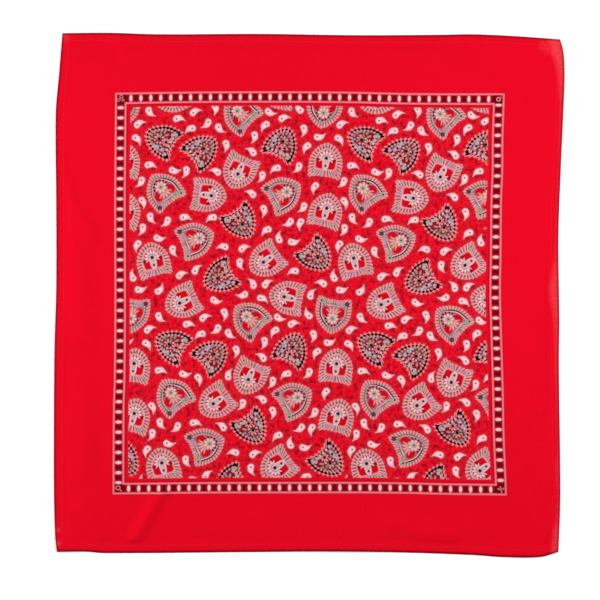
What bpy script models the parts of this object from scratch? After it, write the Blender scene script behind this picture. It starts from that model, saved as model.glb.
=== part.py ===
"""A cotton bandana laid flat, right side up: one printed square and its four turned hems.

The cloth lies in the XY plane with its length along Y, and rests on Z = 0. The square is a
thin wall that runs out to the fold at each edge, where it turns down. The hems are the
doubled strips behind it, each held off the square by a seam gap. The origin is at the
centre of the cloth's bounding box, on the surface that it rests on.
"""

from collections import namedtuple
import math

import bmesh
import bpy
from mathutils import Vector

MM = 0.001

# Finished size of the hemmed square, and the cloth's wall.
CLOTH_WIDTH = 546.0 * MM
CLOTH_LENGTH = 561.0 * MM
WALL = 1.05 * MM
SEAM_GAP = 0.3 * MM

# The turned hem: a doubled strip behind the square, and the slope where the square comes
# down to the surface inside it.
HEM_WIDTH = 9.4 * MM
HEM_THICKNESS = 1.0 * MM
FOLD_LIP = 1.3 * MM
FOLD_SLOPE = 0.25 * MM
HEM_RAMP = 5.2 * MM

# Mesh spacing: the plain cells, and the shortest edge that is split where the cloth lifts.
CELL = 17.0 * MM
SPLIT_EDGE = 10.0 * MM
LIFT_SEEN = 0.05 * MM

RED_COTTON = (0.80, 0.012, 0.020, 1.0)
RED_WRONG_SIDE = (0.72, 0.045, 0.055, 1.0)
COTTON_ROUGHNESS = 0.85

HEM_RISE = HEM_THICKNESS + SEAM_GAP
EDGE_TOP = HEM_RISE + WALL
FOLD_RADIUS = EDGE_TOP / 2.0
HEM_OUTER = FOLD_LIP + FOLD_SLOPE + SEAM_GAP
RAMP_START = HEM_WIDTH + 0.4 * MM
RAMP_END = RAMP_START + HEM_RAMP

# Where each edge of the laid cloth strays from its straight line: share is the way along
# the edge (left to right, or bottom to top), drift is in millimetres towards +X or +Y.
EdgePoint = namedtuple("EdgePoint", "share drift")

LEFT_EDGE = (
    EdgePoint(0.00, 1.6),
    EdgePoint(0.03, -0.3),
    EdgePoint(0.11, -1.6),
    EdgePoint(0.22, -1.8),
    EdgePoint(0.39, -1.1),
    EdgePoint(0.51, 0.8),
    EdgePoint(0.68, 0.8),
    EdgePoint(0.80, 0.1),
    EdgePoint(0.86, 0.6),
    EdgePoint(0.93, 4.2),
    EdgePoint(1.00, 7.6),
)
RIGHT_EDGE = (
    EdgePoint(0.00, -2.3),
    EdgePoint(0.09, -0.4),
    EdgePoint(0.16, -0.3),
    EdgePoint(0.37, -1.7),
    EdgePoint(0.45, -1.2),
    EdgePoint(0.61, -2.2),
    EdgePoint(0.74, 0.3),
    EdgePoint(0.90, 4.2),
    EdgePoint(0.95, 4.2),
    EdgePoint(0.98, 2.5),
    EdgePoint(1.00, -0.5),
)
BOTTOM_EDGE = (
    EdgePoint(0.00, 1.6),
    EdgePoint(0.06, 1.7),
    EdgePoint(0.10, 0.2),
    EdgePoint(0.40, 1.4),
    EdgePoint(0.55, 1.9),
    EdgePoint(0.70, 0.5),
    EdgePoint(0.82, -2.0),
    EdgePoint(0.88, -4.3),
    EdgePoint(0.96, -3.9),
    EdgePoint(1.00, 1.6),
)
TOP_EDGE = (
    EdgePoint(0.00, 1.2),
    EdgePoint(0.10, 1.7),
    EdgePoint(0.20, 0.1),
    EdgePoint(0.40, 0.5),
    EdgePoint(0.60, -1.0),
    EdgePoint(0.76, -0.4),
    EdgePoint(0.82, 0.1),
    EdgePoint(0.90, -1.8),
    EdgePoint(1.00, -5.6),
)

# Soft ridges where the square lifts off the surface and dies out at the hem. Ends, half
# width and height are in millimetres from the middle of the cloth.
Fold = namedtuple("Fold", "name x0 y0 x1 y1 half_width height")

FOLDS = (
    Fold("corner pleat", -154, -218, -191, -280, 15, 3.4),
    Fold("left bend", -266, 116, -234, 62, 16, 2.2),
    Fold("left swell", -252, 90, -243, -46, 24, 1.8),
    Fold("lower left swell", -246, -100, -242, -190, 22, 1.4),
    Fold("top ridge", -196, 262, 158, 261, 16, 1.3),
    Fold("top right swell", 152, 243, 200, 222, 22, 1.6),
    Fold("bottom swell", 92, -250, 152, -264, 20, 2.0),
    Fold("right swell", 248, 30, 246, -120, 22, 1.2),
)

# Broad swells that lift the hem too, as at a corner that doesn't lie quite down.
Swell = namedtuple("Swell", "name x y radius height")

SWELLS = (
    Swell("top right corner", 262, 262, 62, 3.0),
    Swell("bottom right corner", 262, -276, 52, 2.4),
    Swell("top left corner", -266, 280, 48, 1.8),
    Swell("bottom left corner", -272, -274, 44, 1.6),
    Swell("right edge", 270, 168, 58, 1.6),
    Swell("left edge", -272, -40, 60, 1.2),
    Swell("top edge", 70, 280, 66, 1.2),
    Swell("bottom edge", 40, -282, 64, 1.4),
)

# The section of a folded edge: how far in from the edge, and the heights of the square's
# upper and under sides there.
SectionPoint = namedtuple("SectionPoint", "inset top under")

ROUND_NEAR = FOLD_RADIUS * 0.3
ROUND_RISE = FOLD_RADIUS * 0.714
FOLD_SECTION = (
    SectionPoint(0.0, FOLD_RADIUS * 1.3, FOLD_RADIUS * 0.7),
    SectionPoint(ROUND_NEAR, FOLD_RADIUS + ROUND_RISE, FOLD_RADIUS - ROUND_RISE),
    SectionPoint(FOLD_RADIUS, EDGE_TOP, 0.0),
    SectionPoint(FOLD_LIP, EDGE_TOP, 0.0),
    SectionPoint(FOLD_LIP + FOLD_SLOPE, EDGE_TOP, HEM_RISE),
    SectionPoint(RAMP_START, EDGE_TOP, HEM_RISE),
    SectionPoint(RAMP_END, WALL, 0.0),
)


def drift_along(edge, share):
    """How far a laid edge strays at a share of its length, on a smooth curve."""
    last = len(edge) - 1
    index = 0
    while index < last - 1 and share > edge[index + 1].share:
        index += 1
    near, far = edge[index], edge[index + 1]
    span = far.share - near.share

    def slope_at(i):
        before, after = edge[max(i - 1, 0)], edge[min(i + 1, last)]
        return (after.drift - before.drift) / (after.share - before.share)

    t = (share - near.share) / span
    ease = t * t * (3.0 - 2.0 * t)
    bend_near = t * (1.0 - t) ** 2 * span * slope_at(index)
    bend_far = t * t * (t - 1.0) * span * slope_at(index + 1)
    return (near.drift + (far.drift - near.drift) * ease + bend_near + bend_far) * MM


def laid_point(across, along):
    """Where a point of the flat cloth comes to lie, from its shares of width and length."""
    left, right = drift_along(LEFT_EDGE, along), drift_along(RIGHT_EDGE, along)
    bottom, top = drift_along(BOTTOM_EDGE, across), drift_along(TOP_EDGE, across)
    x = (across - 0.5) * CLOTH_WIDTH + left * (1.0 - across) + right * across
    y = (along - 0.5) * CLOTH_LENGTH + bottom * (1.0 - along) + top * along
    return x, y


def inset_of(across, along):
    """Distance of a point of the flat cloth from its nearest edge."""
    from_side = min(across, 1.0 - across) * CLOTH_WIDTH
    from_end = min(along, 1.0 - along) * CLOTH_LENGTH
    return min(from_side, from_end)


def bell(distance, reach):
    """A soft bump: one at the middle, nothing at its reach and beyond."""
    if distance >= reach:
        return 0.0
    return 0.5 + 0.5 * math.cos(math.pi * distance / reach)


def smooth_share(value, low, high):
    """Nothing below low, one above high, and an easy curve between."""
    t = min(max((value - low) / (high - low), 0.0), 1.0)
    return t * t * (3.0 - 2.0 * t)


def ridge_height(fold, x, y):
    """Height of one soft ridge over a place, in millimetres."""
    start, end = Vector((fold.x0, fold.y0)), Vector((fold.x1, fold.y1))
    run = end - start
    t = (Vector((x, y)) - start).dot(run) / run.length_squared
    nearest = start + run * min(max(t, 0.0), 1.0)
    return fold.height * bell((Vector((x, y)) - nearest).length, fold.half_width)


def lift_at(across, along):
    """How far the cloth lies off the surface, from its ridges and its swells."""
    x, y = laid_point(across, along)
    x_mm, y_mm = x / MM, y / MM
    held = smooth_share(inset_of(across, along), RAMP_START, RAMP_END + FOLD_RADIUS)
    ridges = max(ridge_height(fold, x_mm, y_mm) for fold in FOLDS) * held
    swells = sum(
        swell.height * bell(math.hypot(x_mm - swell.x, y_mm - swell.y), swell.radius)
        for swell in SWELLS
    )
    return (ridges + swells) * MM


def section_height(inset, side):
    """Height of the square's upper or under side at a distance from its edge."""
    for near, far in zip(FOLD_SECTION, FOLD_SECTION[1:]):
        if inset <= far.inset:
            t = (inset - near.inset) / (far.inset - near.inset)
            return getattr(near, side) * (1.0 - t) + getattr(far, side) * t
    return getattr(FOLD_SECTION[-1], side)


def stations(length):
    """Shares of a side where the cloth's mesh has a line: its edge section, then cells."""
    inner = length - 2.0 * RAMP_END
    cells = round(inner / CELL)
    edge = [point.inset for point in FOLD_SECTION]
    middle = [RAMP_END + inner * i / cells for i in range(1, cells)]
    far_edge = [length - inset for inset in reversed(edge)]
    return [place / length for place in edge + middle + far_edge]


ACROSS = stations(CLOTH_WIDTH)
ALONG = stations(CLOTH_LENGTH)


def outline_centre():
    """Middle of the laid cloth's bounding box, which becomes the origin."""
    rim = [laid_point(a, b) for a in ACROSS for b in (0.0, 1.0)]
    rim += [laid_point(a, b) for a in (0.0, 1.0) for b in ALONG]
    xs, ys = [p[0] for p in rim], [p[1] for p in rim]
    return (min(xs) + max(xs)) / 2.0, (min(ys) + max(ys)) / 2.0


CENTRE = outline_centre()


def placed(across, along, height):
    """A point of the cloth in the part's own frame, at a height over the surface."""
    x, y = laid_point(across, along)
    return Vector((x - CENTRE[0], y - CENTRE[1], height))


def cotton(name, colour):
    """A plain woven cotton."""
    material = bpy.data.materials.new(name)
    material.use_nodes = True
    shader = material.node_tree.nodes["Principled BSDF"]
    shader.inputs["Base Color"].default_value = colour
    shader.inputs["Roughness"].default_value = COTTON_ROUGHNESS
    shader.inputs["Metallic"].default_value = 0.0
    material.diffuse_color = colour
    return material


def finish_object(name, bm, material):
    """Turn a closed mesh into a named object, shaded smooth where it is round."""
    bmesh.ops.triangulate(bm, faces=bm.faces)
    bmesh.ops.recalc_face_normals(bm, faces=bm.faces)
    mesh = bpy.data.meshes.new(name)
    bm.to_mesh(mesh)
    bm.free()
    mesh.materials.append(material)
    mesh.shade_smooth()
    mesh.set_sharp_from_angle(angle=math.radians(40))
    obj = bpy.data.objects.new(name, mesh)
    bpy.context.scene.collection.objects.link(obj)
    return obj


def flat_grid(bm):
    """The square as a flat net of cells, each vertex held by its shares of the sides."""
    rows = [[bm.verts.new((a, b, 0.0)) for a in ACROSS] for b in ALONG]
    for low, high in zip(rows, rows[1:]):
        for i in range(len(ACROSS) - 1):
            bm.faces.new((low[i], low[i + 1], high[i + 1], high[i]))


def split_where_lifted(bm):
    """Halve the long edges that lie on a ridge or a swell, so that it reads as a curve."""
    chosen = []
    for edge in bm.edges:
        (a0, b0, _), (a1, b1, _) = edge.verts[0].co, edge.verts[1].co
        length = math.hypot((a1 - a0) * CLOTH_WIDTH, (b1 - b0) * CLOTH_LENGTH)
        places = ((a0, b0), ((a0 + a1) / 2.0, (b0 + b1) / 2.0), (a1, b1))
        lifted = any(lift_at(a, b) > LIFT_SEEN for a, b in places)
        if length > SPLIT_EDGE and lifted:
            chosen.append(edge)
    bmesh.ops.subdivide_edges(bm, edges=chosen, cuts=1, use_grid_fill=True)
    bmesh.ops.triangulate(bm, faces=bm.faces)


def make_panel(material):
    """The printed square: a wall that turns down round each edge."""
    bm = bmesh.new()
    flat_grid(bm)
    split_where_lifted(bm)
    under_side = list(bm.verts)
    grown = bmesh.ops.extrude_face_region(bm, geom=list(bm.faces))
    upper_side = [item for item in grown["geom"] if isinstance(item, bmesh.types.BMVert)]
    for verts, side in ((under_side, "under"), (upper_side, "top")):
        for vert in verts:
            across, along = vert.co.x, vert.co.y
            height = section_height(inset_of(across, along), side)
            vert.co = placed(across, along, height + lift_at(across, along))
    return finish_object("panel", bm, material)


def hem_shares(side, share, inset):
    """Shares of the cloth's sides for a place on a hem: along its side, and in from it."""
    from_end, from_side = inset / CLOTH_LENGTH, inset / CLOTH_WIDTH
    return {
        "top": (share, 1.0 - from_end),
        "bottom": (share, from_end),
        "left": (from_side, share),
        "right": (1.0 - from_side, share),
    }[side]


def hem_point(side, share, inset, height):
    """A point of a hem strip, whose lift runs straight between the square's own points."""
    outer, inner = FOLD_LIP + FOLD_SLOPE, RAMP_START
    t = (inset - outer) / (inner - outer)
    outer_lift = lift_at(*hem_shares(side, share, outer))
    inner_lift = lift_at(*hem_shares(side, share, inner))
    lift = outer_lift * (1.0 - t) + inner_lift * t
    return placed(*hem_shares(side, share, inset), height + lift)


def hem_stations(side):
    """Shares of its side where a hem strip has a section: on the cloth's lines and between."""
    across_end = side in ("top", "bottom")
    length = CLOTH_WIDTH if across_end else CLOTH_LENGTH
    start = HEM_OUTER if across_end else HEM_WIDTH + SEAM_GAP
    lines = ACROSS if across_end else ALONG
    halves = [(a + b) / 2.0 for a, b in zip(lines, lines[1:]) if (b - a) * length > SPLIT_EDGE]
    low, high = start / length, 1.0 - start / length
    clear = SEAM_GAP / length
    between = [s for s in sorted(lines + halves) if low + clear < s < high - clear]
    return [low] + between + [high]


def make_hem(side, material):
    """One turned hem: a flat doubled strip with a round fold along both borders."""
    rounding = HEM_THICKNESS / 3.0
    section = (
        (HEM_OUTER, HEM_THICKNESS / 2.0),
        (HEM_OUTER + rounding, 0.0),
        (HEM_WIDTH - rounding, 0.0),
        (HEM_WIDTH, HEM_THICKNESS / 2.0),
        (HEM_WIDTH - rounding, HEM_THICKNESS),
        (HEM_OUTER + rounding, HEM_THICKNESS),
    )
    bm = bmesh.new()
    rings = [
        [bm.verts.new(hem_point(side, share, inset, height)) for inset, height in section]
        for share in hem_stations(side)
    ]
    for ring, following in zip(rings, rings[1:]):
        for i in range(len(section)):
            j = (i + 1) % len(section)
            bm.faces.new((ring[i], ring[j], following[j], following[i]))
    bm.faces.new(rings[0])
    bm.faces.new(rings[-1])
    return finish_object("hem_" + side, bm, material)


def main():
    """Clear the scene and build the square and its hems."""
    for obj in list(bpy.data.objects):
        bpy.data.objects.remove(obj, do_unlink=True)
    make_panel(cotton("printed_cotton", RED_COTTON))
    turned_cotton = cotton("turned_cotton", RED_WRONG_SIDE)
    for side in ("top", "bottom", "left", "right"):
        make_hem(side, turned_cotton)


main()
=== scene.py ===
"""Looks of a cotton bandana laid flat: the printed square, its turned hems and their sewing.

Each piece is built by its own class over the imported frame, in the frame's own place. Flat
places on the cloth are in millimetres from its middle, p across and q along. The print is
drawn in the material, from a chart of one repeat that is kept here as short tables.
"""

import logging
import math
from copy import copy
from dataclasses import dataclass, replace
from enum import Enum
from typing import Callable, NamedTuple, Sequence, Union

import bpy
import numpy as np
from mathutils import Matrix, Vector

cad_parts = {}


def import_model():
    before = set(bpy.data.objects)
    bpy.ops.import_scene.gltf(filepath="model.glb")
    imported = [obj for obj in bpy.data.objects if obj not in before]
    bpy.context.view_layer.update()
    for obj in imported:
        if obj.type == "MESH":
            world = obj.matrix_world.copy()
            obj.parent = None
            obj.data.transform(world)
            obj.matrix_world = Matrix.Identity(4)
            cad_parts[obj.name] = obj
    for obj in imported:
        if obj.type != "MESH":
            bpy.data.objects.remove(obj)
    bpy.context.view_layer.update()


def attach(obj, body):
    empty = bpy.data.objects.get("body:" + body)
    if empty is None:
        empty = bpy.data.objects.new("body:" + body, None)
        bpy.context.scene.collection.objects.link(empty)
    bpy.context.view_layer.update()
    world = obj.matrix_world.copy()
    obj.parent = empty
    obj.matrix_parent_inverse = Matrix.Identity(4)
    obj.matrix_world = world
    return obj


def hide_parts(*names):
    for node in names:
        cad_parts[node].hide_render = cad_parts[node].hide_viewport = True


LOG = logging.getLogger("bandana")
MM = 0.001

Array = np.ndarray
Material = bpy.types.Material


# ---------------------------------------------------------------- how the cloth lies


class LinePoint(NamedTuple):
    """A place on a line of the laid cloth: its share of the way, and how far it strays."""

    share: float
    drift: float


class Fold(NamedTuple):
    """A soft ridge, or a trough where its height is negative, between two places."""

    x0: float
    y0: float
    x1: float
    y1: float
    half_width: float
    height: float


class Swell(NamedTuple):
    """A broad round lift that takes the hem with it."""

    x: float
    y: float
    radius: float
    height: float


class Wave(NamedTuple):
    """A long shallow wave over the whole cloth, heading in degrees."""

    length: float
    heading: float
    phase: float
    height: float


class Sway(NamedTuple):
    """A slow sine along the hem, which makes it uneven: height, length over a radian, phase."""

    height: float
    length: float
    phase: float = 0.0

    def at(self, way: Array) -> Array:
        """Its value at each place along the way."""
        return self.height * np.sin(way / self.length + self.phase)


def line(*pairs: tuple[float, float]) -> tuple[LinePoint, ...]:
    """A strayed line from its pairs of share and drift."""
    return tuple(LinePoint(*pair) for pair in pairs)


LEFT_EDGE = line(
    (0.00, 1.6), (0.03, -0.3), (0.11, -1.6), (0.22, -1.8), (0.39, -1.1), (0.51, 0.8),
    (0.68, 0.8), (0.80, 0.1), (0.86, 0.6), (0.93, 4.2), (1.00, 7.6),
)
RIGHT_EDGE = line(
    (0.00, -2.3), (0.09, -0.4), (0.16, -0.3), (0.37, -1.7), (0.45, -1.2), (0.61, -2.2),
    (0.74, 0.3), (0.90, 4.2), (0.95, 4.2), (0.98, 2.5), (1.00, -0.5),
)
BOTTOM_EDGE = line(
    (0.00, 1.6), (0.06, 1.7), (0.10, 0.2), (0.40, 1.4), (0.55, 1.9), (0.70, 0.5),
    (0.82, -2.0), (0.88, -4.3), (0.96, -3.9), (1.00, 1.6),
)
TOP_EDGE = line(
    (0.00, 1.2), (0.10, 1.7), (0.20, 0.1), (0.40, 0.5), (0.60, -1.0), (0.76, -0.4),
    (0.82, 0.1), (0.90, -1.8), (1.00, -5.6),
)
LEFT_FRAME = line(
    (0.00, -1.2), (0.28, -0.7), (0.33, 0.2), (0.45, 0.9), (0.68, 0.7), (0.80, 1.2),
    (1.00, 2.5),
)
RIGHT_FRAME = line(
    (0.00, 5.5), (0.12, 4.8), (0.22, 2.6), (0.33, 1.2), (0.45, -0.9), (0.51, -1.6),
    (0.57, -1.0), (0.68, -0.4), (0.74, 0.9), (0.80, 1.1), (0.86, 2.2), (1.00, 4.0),
)
BOTTOM_FRAME = line(
    (0.00, 0.5), (0.17, 1.0), (0.29, 1.7), (0.58, 1.9), (0.70, 1.4), (0.76, 0.5),
    (1.00, -1.0),
)
TOP_FRAME = line(
    (0.00, -0.5), (0.12, -0.3), (0.23, 0.8), (0.40, 1.3), (0.58, 0.9), (0.70, -0.7),
    (1.00, -1.0),
)

FOLDS = (
    Fold(-158, -214, -193, -276, 12, 3.4),  # corner pleat
    Fold(-266, 116, -234, 62, 16, 2.2),  # left bend
    Fold(-252, 90, -243, -46, 24, 1.8),  # left swell
    Fold(-246, -100, -242, -190, 22, 1.4),  # lower left swell
    Fold(-196, 262, 158, 261, 16, 1.3),  # top ridge
    Fold(152, 243, 200, 222, 22, 1.6),  # top right swell
    Fold(92, -250, 152, -264, 20, 2.0),  # bottom swell
    Fold(248, 30, 246, -120, 22, 1.4),  # right swell
    Fold(239, 196, 247, 130, 17, 1.3),  # upper right swell
    Fold(230, -226, 256, -262, 14, 1.5),  # lower right bend
    Fold(-244, -232, -222, -262, 15, 1.2),  # lower left bend
)

SWELLS = (
    Swell(262, 262, 62, 3.0),  # top right corner
    Swell(262, -276, 52, 1.2),  # bottom right corner
    Swell(-266, 280, 48, 1.8),  # top left corner
    Swell(-272, -274, 44, 1.6),  # bottom left corner
    Swell(270, 168, 58, 1.6),  # right edge
    Swell(-272, -40, 60, 1.2),  # left edge
    Swell(70, 280, 66, 1.2),  # top edge
    Swell(40, -282, 64, 1.4),  # bottom edge
)

WAVES = (
    Wave(171, 24, 0.3, 0.50),
    Wave(118, 97, 1.9, 0.38),
    Wave(83, 141, 4.1, 0.27),
    Wave(61, 62, 2.6, 0.18),
)

PUCKER_WANDER = (Sway(1.9, 27.0), Sway(1.3, 11.3, 2.0))
PUCKER_SWAY = Sway(0.45, 41.0, 0.8)


def drift_along(strayed: tuple[LinePoint, ...], share: Array) -> Array:
    """How far a laid line strays at shares of its length, on a smooth curve.

    Args:
        strayed: the line's points.
        share: the way along the line, from 0 to 1.

    Returns:
        The drift at each share, in millimetres.
    """
    shares, drifts = np.array(strayed, dtype=float).T
    last = len(strayed) - 1
    before = np.maximum(np.arange(last + 1) - 1, 0)
    after = np.minimum(np.arange(last + 1) + 1, last)
    slopes = (drifts[after] - drifts[before]) / (shares[after] - shares[before])
    near = np.clip(np.searchsorted(shares, share, side="right") - 1, 0, last - 1)
    span = shares[near + 1] - shares[near]
    t = (share - shares[near]) / span
    ease = t * t * (3.0 - 2.0 * t)
    bend_near = t * (1.0 - t) ** 2 * span * slopes[near]
    bend_far = t * t * (t - 1.0) * span * slopes[near + 1]
    return drifts[near] * (1.0 - ease) + drifts[near + 1] * ease + bend_near + bend_far


def bell(distance: Array, reach: float) -> Array:
    """A soft bump: one at the middle, nothing at its reach and beyond."""
    return 0.5 + 0.5 * np.cos(np.pi * np.minimum(distance / reach, 1.0))


def smooth_share(value: Array, low: float, high: float) -> Array:
    """Nothing below low, one above high, and an easy curve between."""
    t = np.clip((value - low) / (high - low), 0.0, 1.0)
    return t * t * (3.0 - 2.0 * t)


@dataclass(frozen=True)
class LaidCloth:
    """The square as it lies: where each flat place comes to, and how high. In millimetres."""

    width: float = 546.0
    length: float = 561.0
    frame_across: float = 209.0
    frame_along: float = 216.5
    thickness: float = 0.45
    field_top: float = 0.62
    hem_top: float = 1.58
    least_top: float = 0.06
    fold_radius: float = 1.2
    hem_width: float = 9.4
    ramp_foot: float = 8.8
    ramp_start: float = 9.8
    ramp_end: float = 15.0
    stitch_inset: float = 8.2
    stitch_groove: float = 0.22
    groove_reach: float = 1.5
    pucker_pitch: float = 8.6
    pucker_slant: float = 0.7
    pucker_height: float = 0.16
    pucker_share: float = 0.55
    pucker_middle: float = 11.5
    pucker_reach: float = 9.0
    more_at_right: float = 0.8

    def strayed(self, place: Array, lines: tuple, half: float, frame: float, share: Array) -> Array:
        """Drift of a place between four laid lines.

        Args:
            place: the way from the middle, towards the second edge.
            lines: the first edge, the frame's two sides and the second edge.
            half: how far the edges lie from the middle.
            frame: how far the frame's sides do.
            share: the way along the lines, from 0 to 1.

        Returns:
            The drift at each place.
        """
        drifts = [drift_along(one, share) for one in lines]
        stops = (-half, -frame, frame, half)
        total = drifts[0]
        for i in range(len(stops) - 1):
            t = np.clip((place - stops[i]) / (stops[i + 1] - stops[i]), 0.0, 1.0)
            total = total + (drifts[i + 1] - drifts[i]) * t
        return total

    def drift(self, p: Array, q: Array) -> tuple[Array, Array]:
        """How far flat places stray when the cloth is laid.

        Args:
            p: places across.
            q: places along.

        Returns:
            The drift across and the drift along.
        """
        upright = (LEFT_EDGE, LEFT_FRAME, RIGHT_FRAME, RIGHT_EDGE)
        level = (BOTTOM_EDGE, BOTTOM_FRAME, TOP_FRAME, TOP_EDGE)
        along = np.clip(q / self.length + 0.5, 0.0, 1.0)
        across = np.clip(p / self.width + 0.5, 0.0, 1.0)
        dx = self.strayed(p, upright, self.width / 2.0, self.frame_across, along)
        dy = self.strayed(q, level, self.length / 2.0, self.frame_along, across)
        return dx, dy

    def laid(self, p: Array, q: Array) -> tuple[Array, Array]:
        """Where flat places come to lie, before the outline is centred."""
        dx, dy = self.drift(p, q)
        return p + dx, q + dy

    def flat(self, x: Array, y: Array) -> tuple[Array, Array]:
        """The flat place that comes to lie at a place: the other way round from laid."""
        dx, dy = self.drift(x, y)
        return x - dx, y - dy

    def centre(self) -> tuple[float, float]:
        """Finds the middle of the laid outline's box, which is the frame's origin.

        Returns:
            Its two places.
        """
        way = np.linspace(-0.5, 0.5, 400)
        ones = np.ones_like(way)
        xs, ys = [], []
        for p, q in ((way, -0.5 * ones), (-0.5 * ones, way), (way, 0.5 * ones), (0.5 * ones, way)):
            x, y = self.laid(p * self.width, q * self.length)
            xs += [x.min(), x.max()]
            ys += [y.min(), y.max()]
        return (min(xs) + max(xs)) / 2.0, (min(ys) + max(ys)) / 2.0

    def points(self, p: Array, q: Array, height: Array) -> Array:
        """Points in the frame, in millimetres, from flat places and their heights."""
        x, y = self.laid(p, q)
        centre = self.centre()
        return np.stack((x - centre[0], y - centre[1], height), axis=-1)

    def inset(self, p: Array, q: Array) -> Array:
        """Distance of flat places from the nearest edge."""
        return np.minimum(self.width / 2.0 - np.abs(p), self.length / 2.0 - np.abs(q))

    def lift(self, p: Array, q: Array) -> Array:
        """How far the cloth lies off the surface, from its ridges, swells and waves.

        Args:
            p: places across.
            q: places along.

        Returns:
            The lift, which the ridges and waves leave out at the hem.
        """
        x, y = self.laid(p, q)
        held = smooth_share(self.inset(p, q), self.ramp_start, self.ramp_end + self.fold_radius)
        ridges = np.zeros_like(x)
        for fold in FOLDS:
            run = np.array((fold.x1 - fold.x0, fold.y1 - fold.y0), dtype=float)
            t = ((x - fold.x0) * run[0] + (y - fold.y0) * run[1]) / (run @ run)
            t = np.clip(t, 0.0, 1.0)
            away = np.hypot(x - fold.x0 - t * run[0], y - fold.y0 - t * run[1])
            ridges = np.maximum(ridges, fold.height * bell(away, fold.half_width))
        lift = ridges * held
        for swell in SWELLS:
            lift += swell.height * bell(np.hypot(x - swell.x, y - swell.y), swell.radius)
        for wave in WAVES:
            heading = math.radians(wave.heading)
            way = x * math.cos(heading) + y * math.sin(heading)
            crest = 0.5 + 0.5 * np.sin(2.0 * np.pi * way / wave.length + wave.phase)
            lift += wave.height * crest * held
        return lift

    def puckers(self, p: Array, q: Array) -> Array:
        """Small uneven ripples that the hem's sewing draws up, strongest inside the stitches.

        Args:
            p: places across.
            q: places along.

        Returns:
            Their height, up and down.
        """
        from_side = self.width / 2.0 - np.abs(p)
        beside = from_side < self.length / 2.0 - np.abs(q)
        along = np.where(beside, q + self.pucker_slant * p, p + self.pucker_slant * q)
        wander = sum(sway.at(along) for sway in PUCKER_WANDER)
        ripple = np.sin(2.0 * np.pi * along / self.pucker_pitch + wander)
        uneven = self.pucker_share + PUCKER_SWAY.at(along)
        near = bell(np.abs(self.inset(p, q) - self.pucker_middle), self.pucker_reach)
        right = 1.0 + self.more_at_right * (p > 0.0) * beside
        return self.pucker_height * ripple * uneven * near * right

    def top(self, p: Array, q: Array) -> Array:
        """Height of the printed face over the surface that it rests on.

        Args:
            p: places across.
            q: places along.

        Returns:
            The height, which falls round the fold at each edge.
        """
        inset = self.inset(p, q)
        down = smooth_share(inset, self.ramp_foot, self.ramp_end)
        height = self.hem_top + (self.field_top - self.hem_top) * down
        groove = bell(np.abs(inset - self.stitch_inset), self.groove_reach)
        height = height - self.stitch_groove * groove
        height = height + self.lift(p, q) + self.puckers(p, q)
        turn = np.clip(1.0 - inset / self.fold_radius, 0.0, 1.0)
        return np.maximum(height * np.sqrt(1.0 - turn**2), self.least_top)


# ---------------------------------------------------------------- the print's chart


class Design(Enum):
    """The three large motifs, by the number that the print's map gives them."""

    PETAL = 0
    BEADED = 1
    FLOWER = 2


class Rows(Enum):
    """The rows of the repeat that hold a motif, where the print's rows differ."""

    ALL = "all"
    UPPER = "the chart's own row and those over it"
    LOWER = "the rows under it"

    def hold(self, row: int) -> bool:
        """Whether these rows take in the one with this number, counted down the cloth."""
        return self is Rows.ALL or (self is Rows.LOWER) == (row > 0)


class Spot(NamedTuple):
    """A large motif on the chart: its middle, and which way the top of its dome points."""

    across: float
    down: float
    turn: float
    rows: Rows = Rows.ALL


class Drop(NamedTuple):
    """A small curled drop on the chart: the middle of its head, and the tip of its tail."""

    head_across: float
    head_down: float
    tail_across: float
    tail_down: float
    rows: Rows = Rows.ALL


SPOTS: dict[Design, tuple[Spot, ...]] = {
    Design.BEADED: (
        Spot(163.3, 140.5, 152), Spot(200.5, 151.3, 40), Spot(281.2, 145.3, 65.5),
        Spot(240, 220.4, 303), Spot(221.6, 276, 207.5), Spot(314.8, 254, 313),
    ),
    Design.PETAL: (
        Spot(208.2, 195, -7, Rows.UPPER), Spot(206, 195.9, 216, Rows.LOWER),
        Spot(239.5, 170.7, 246), Spot(326, 161.3, 83),
        Spot(326, 211.2, 76), Spot(153.1, 260.4, 104), Spot(266.3, 260, 215),
        Spot(182.9, 301.4, 205), Spot(287.5, 297.2, 168),
    ),
    Design.FLOWER: (
        Spot(163.2, 190, 126), Spot(240.3, 113.3, 137), Spot(324.3, 109, 262),
        Spot(283.6, 193.5, 29), Spot(195.9, 239.3, 20),
    ),
}

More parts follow.
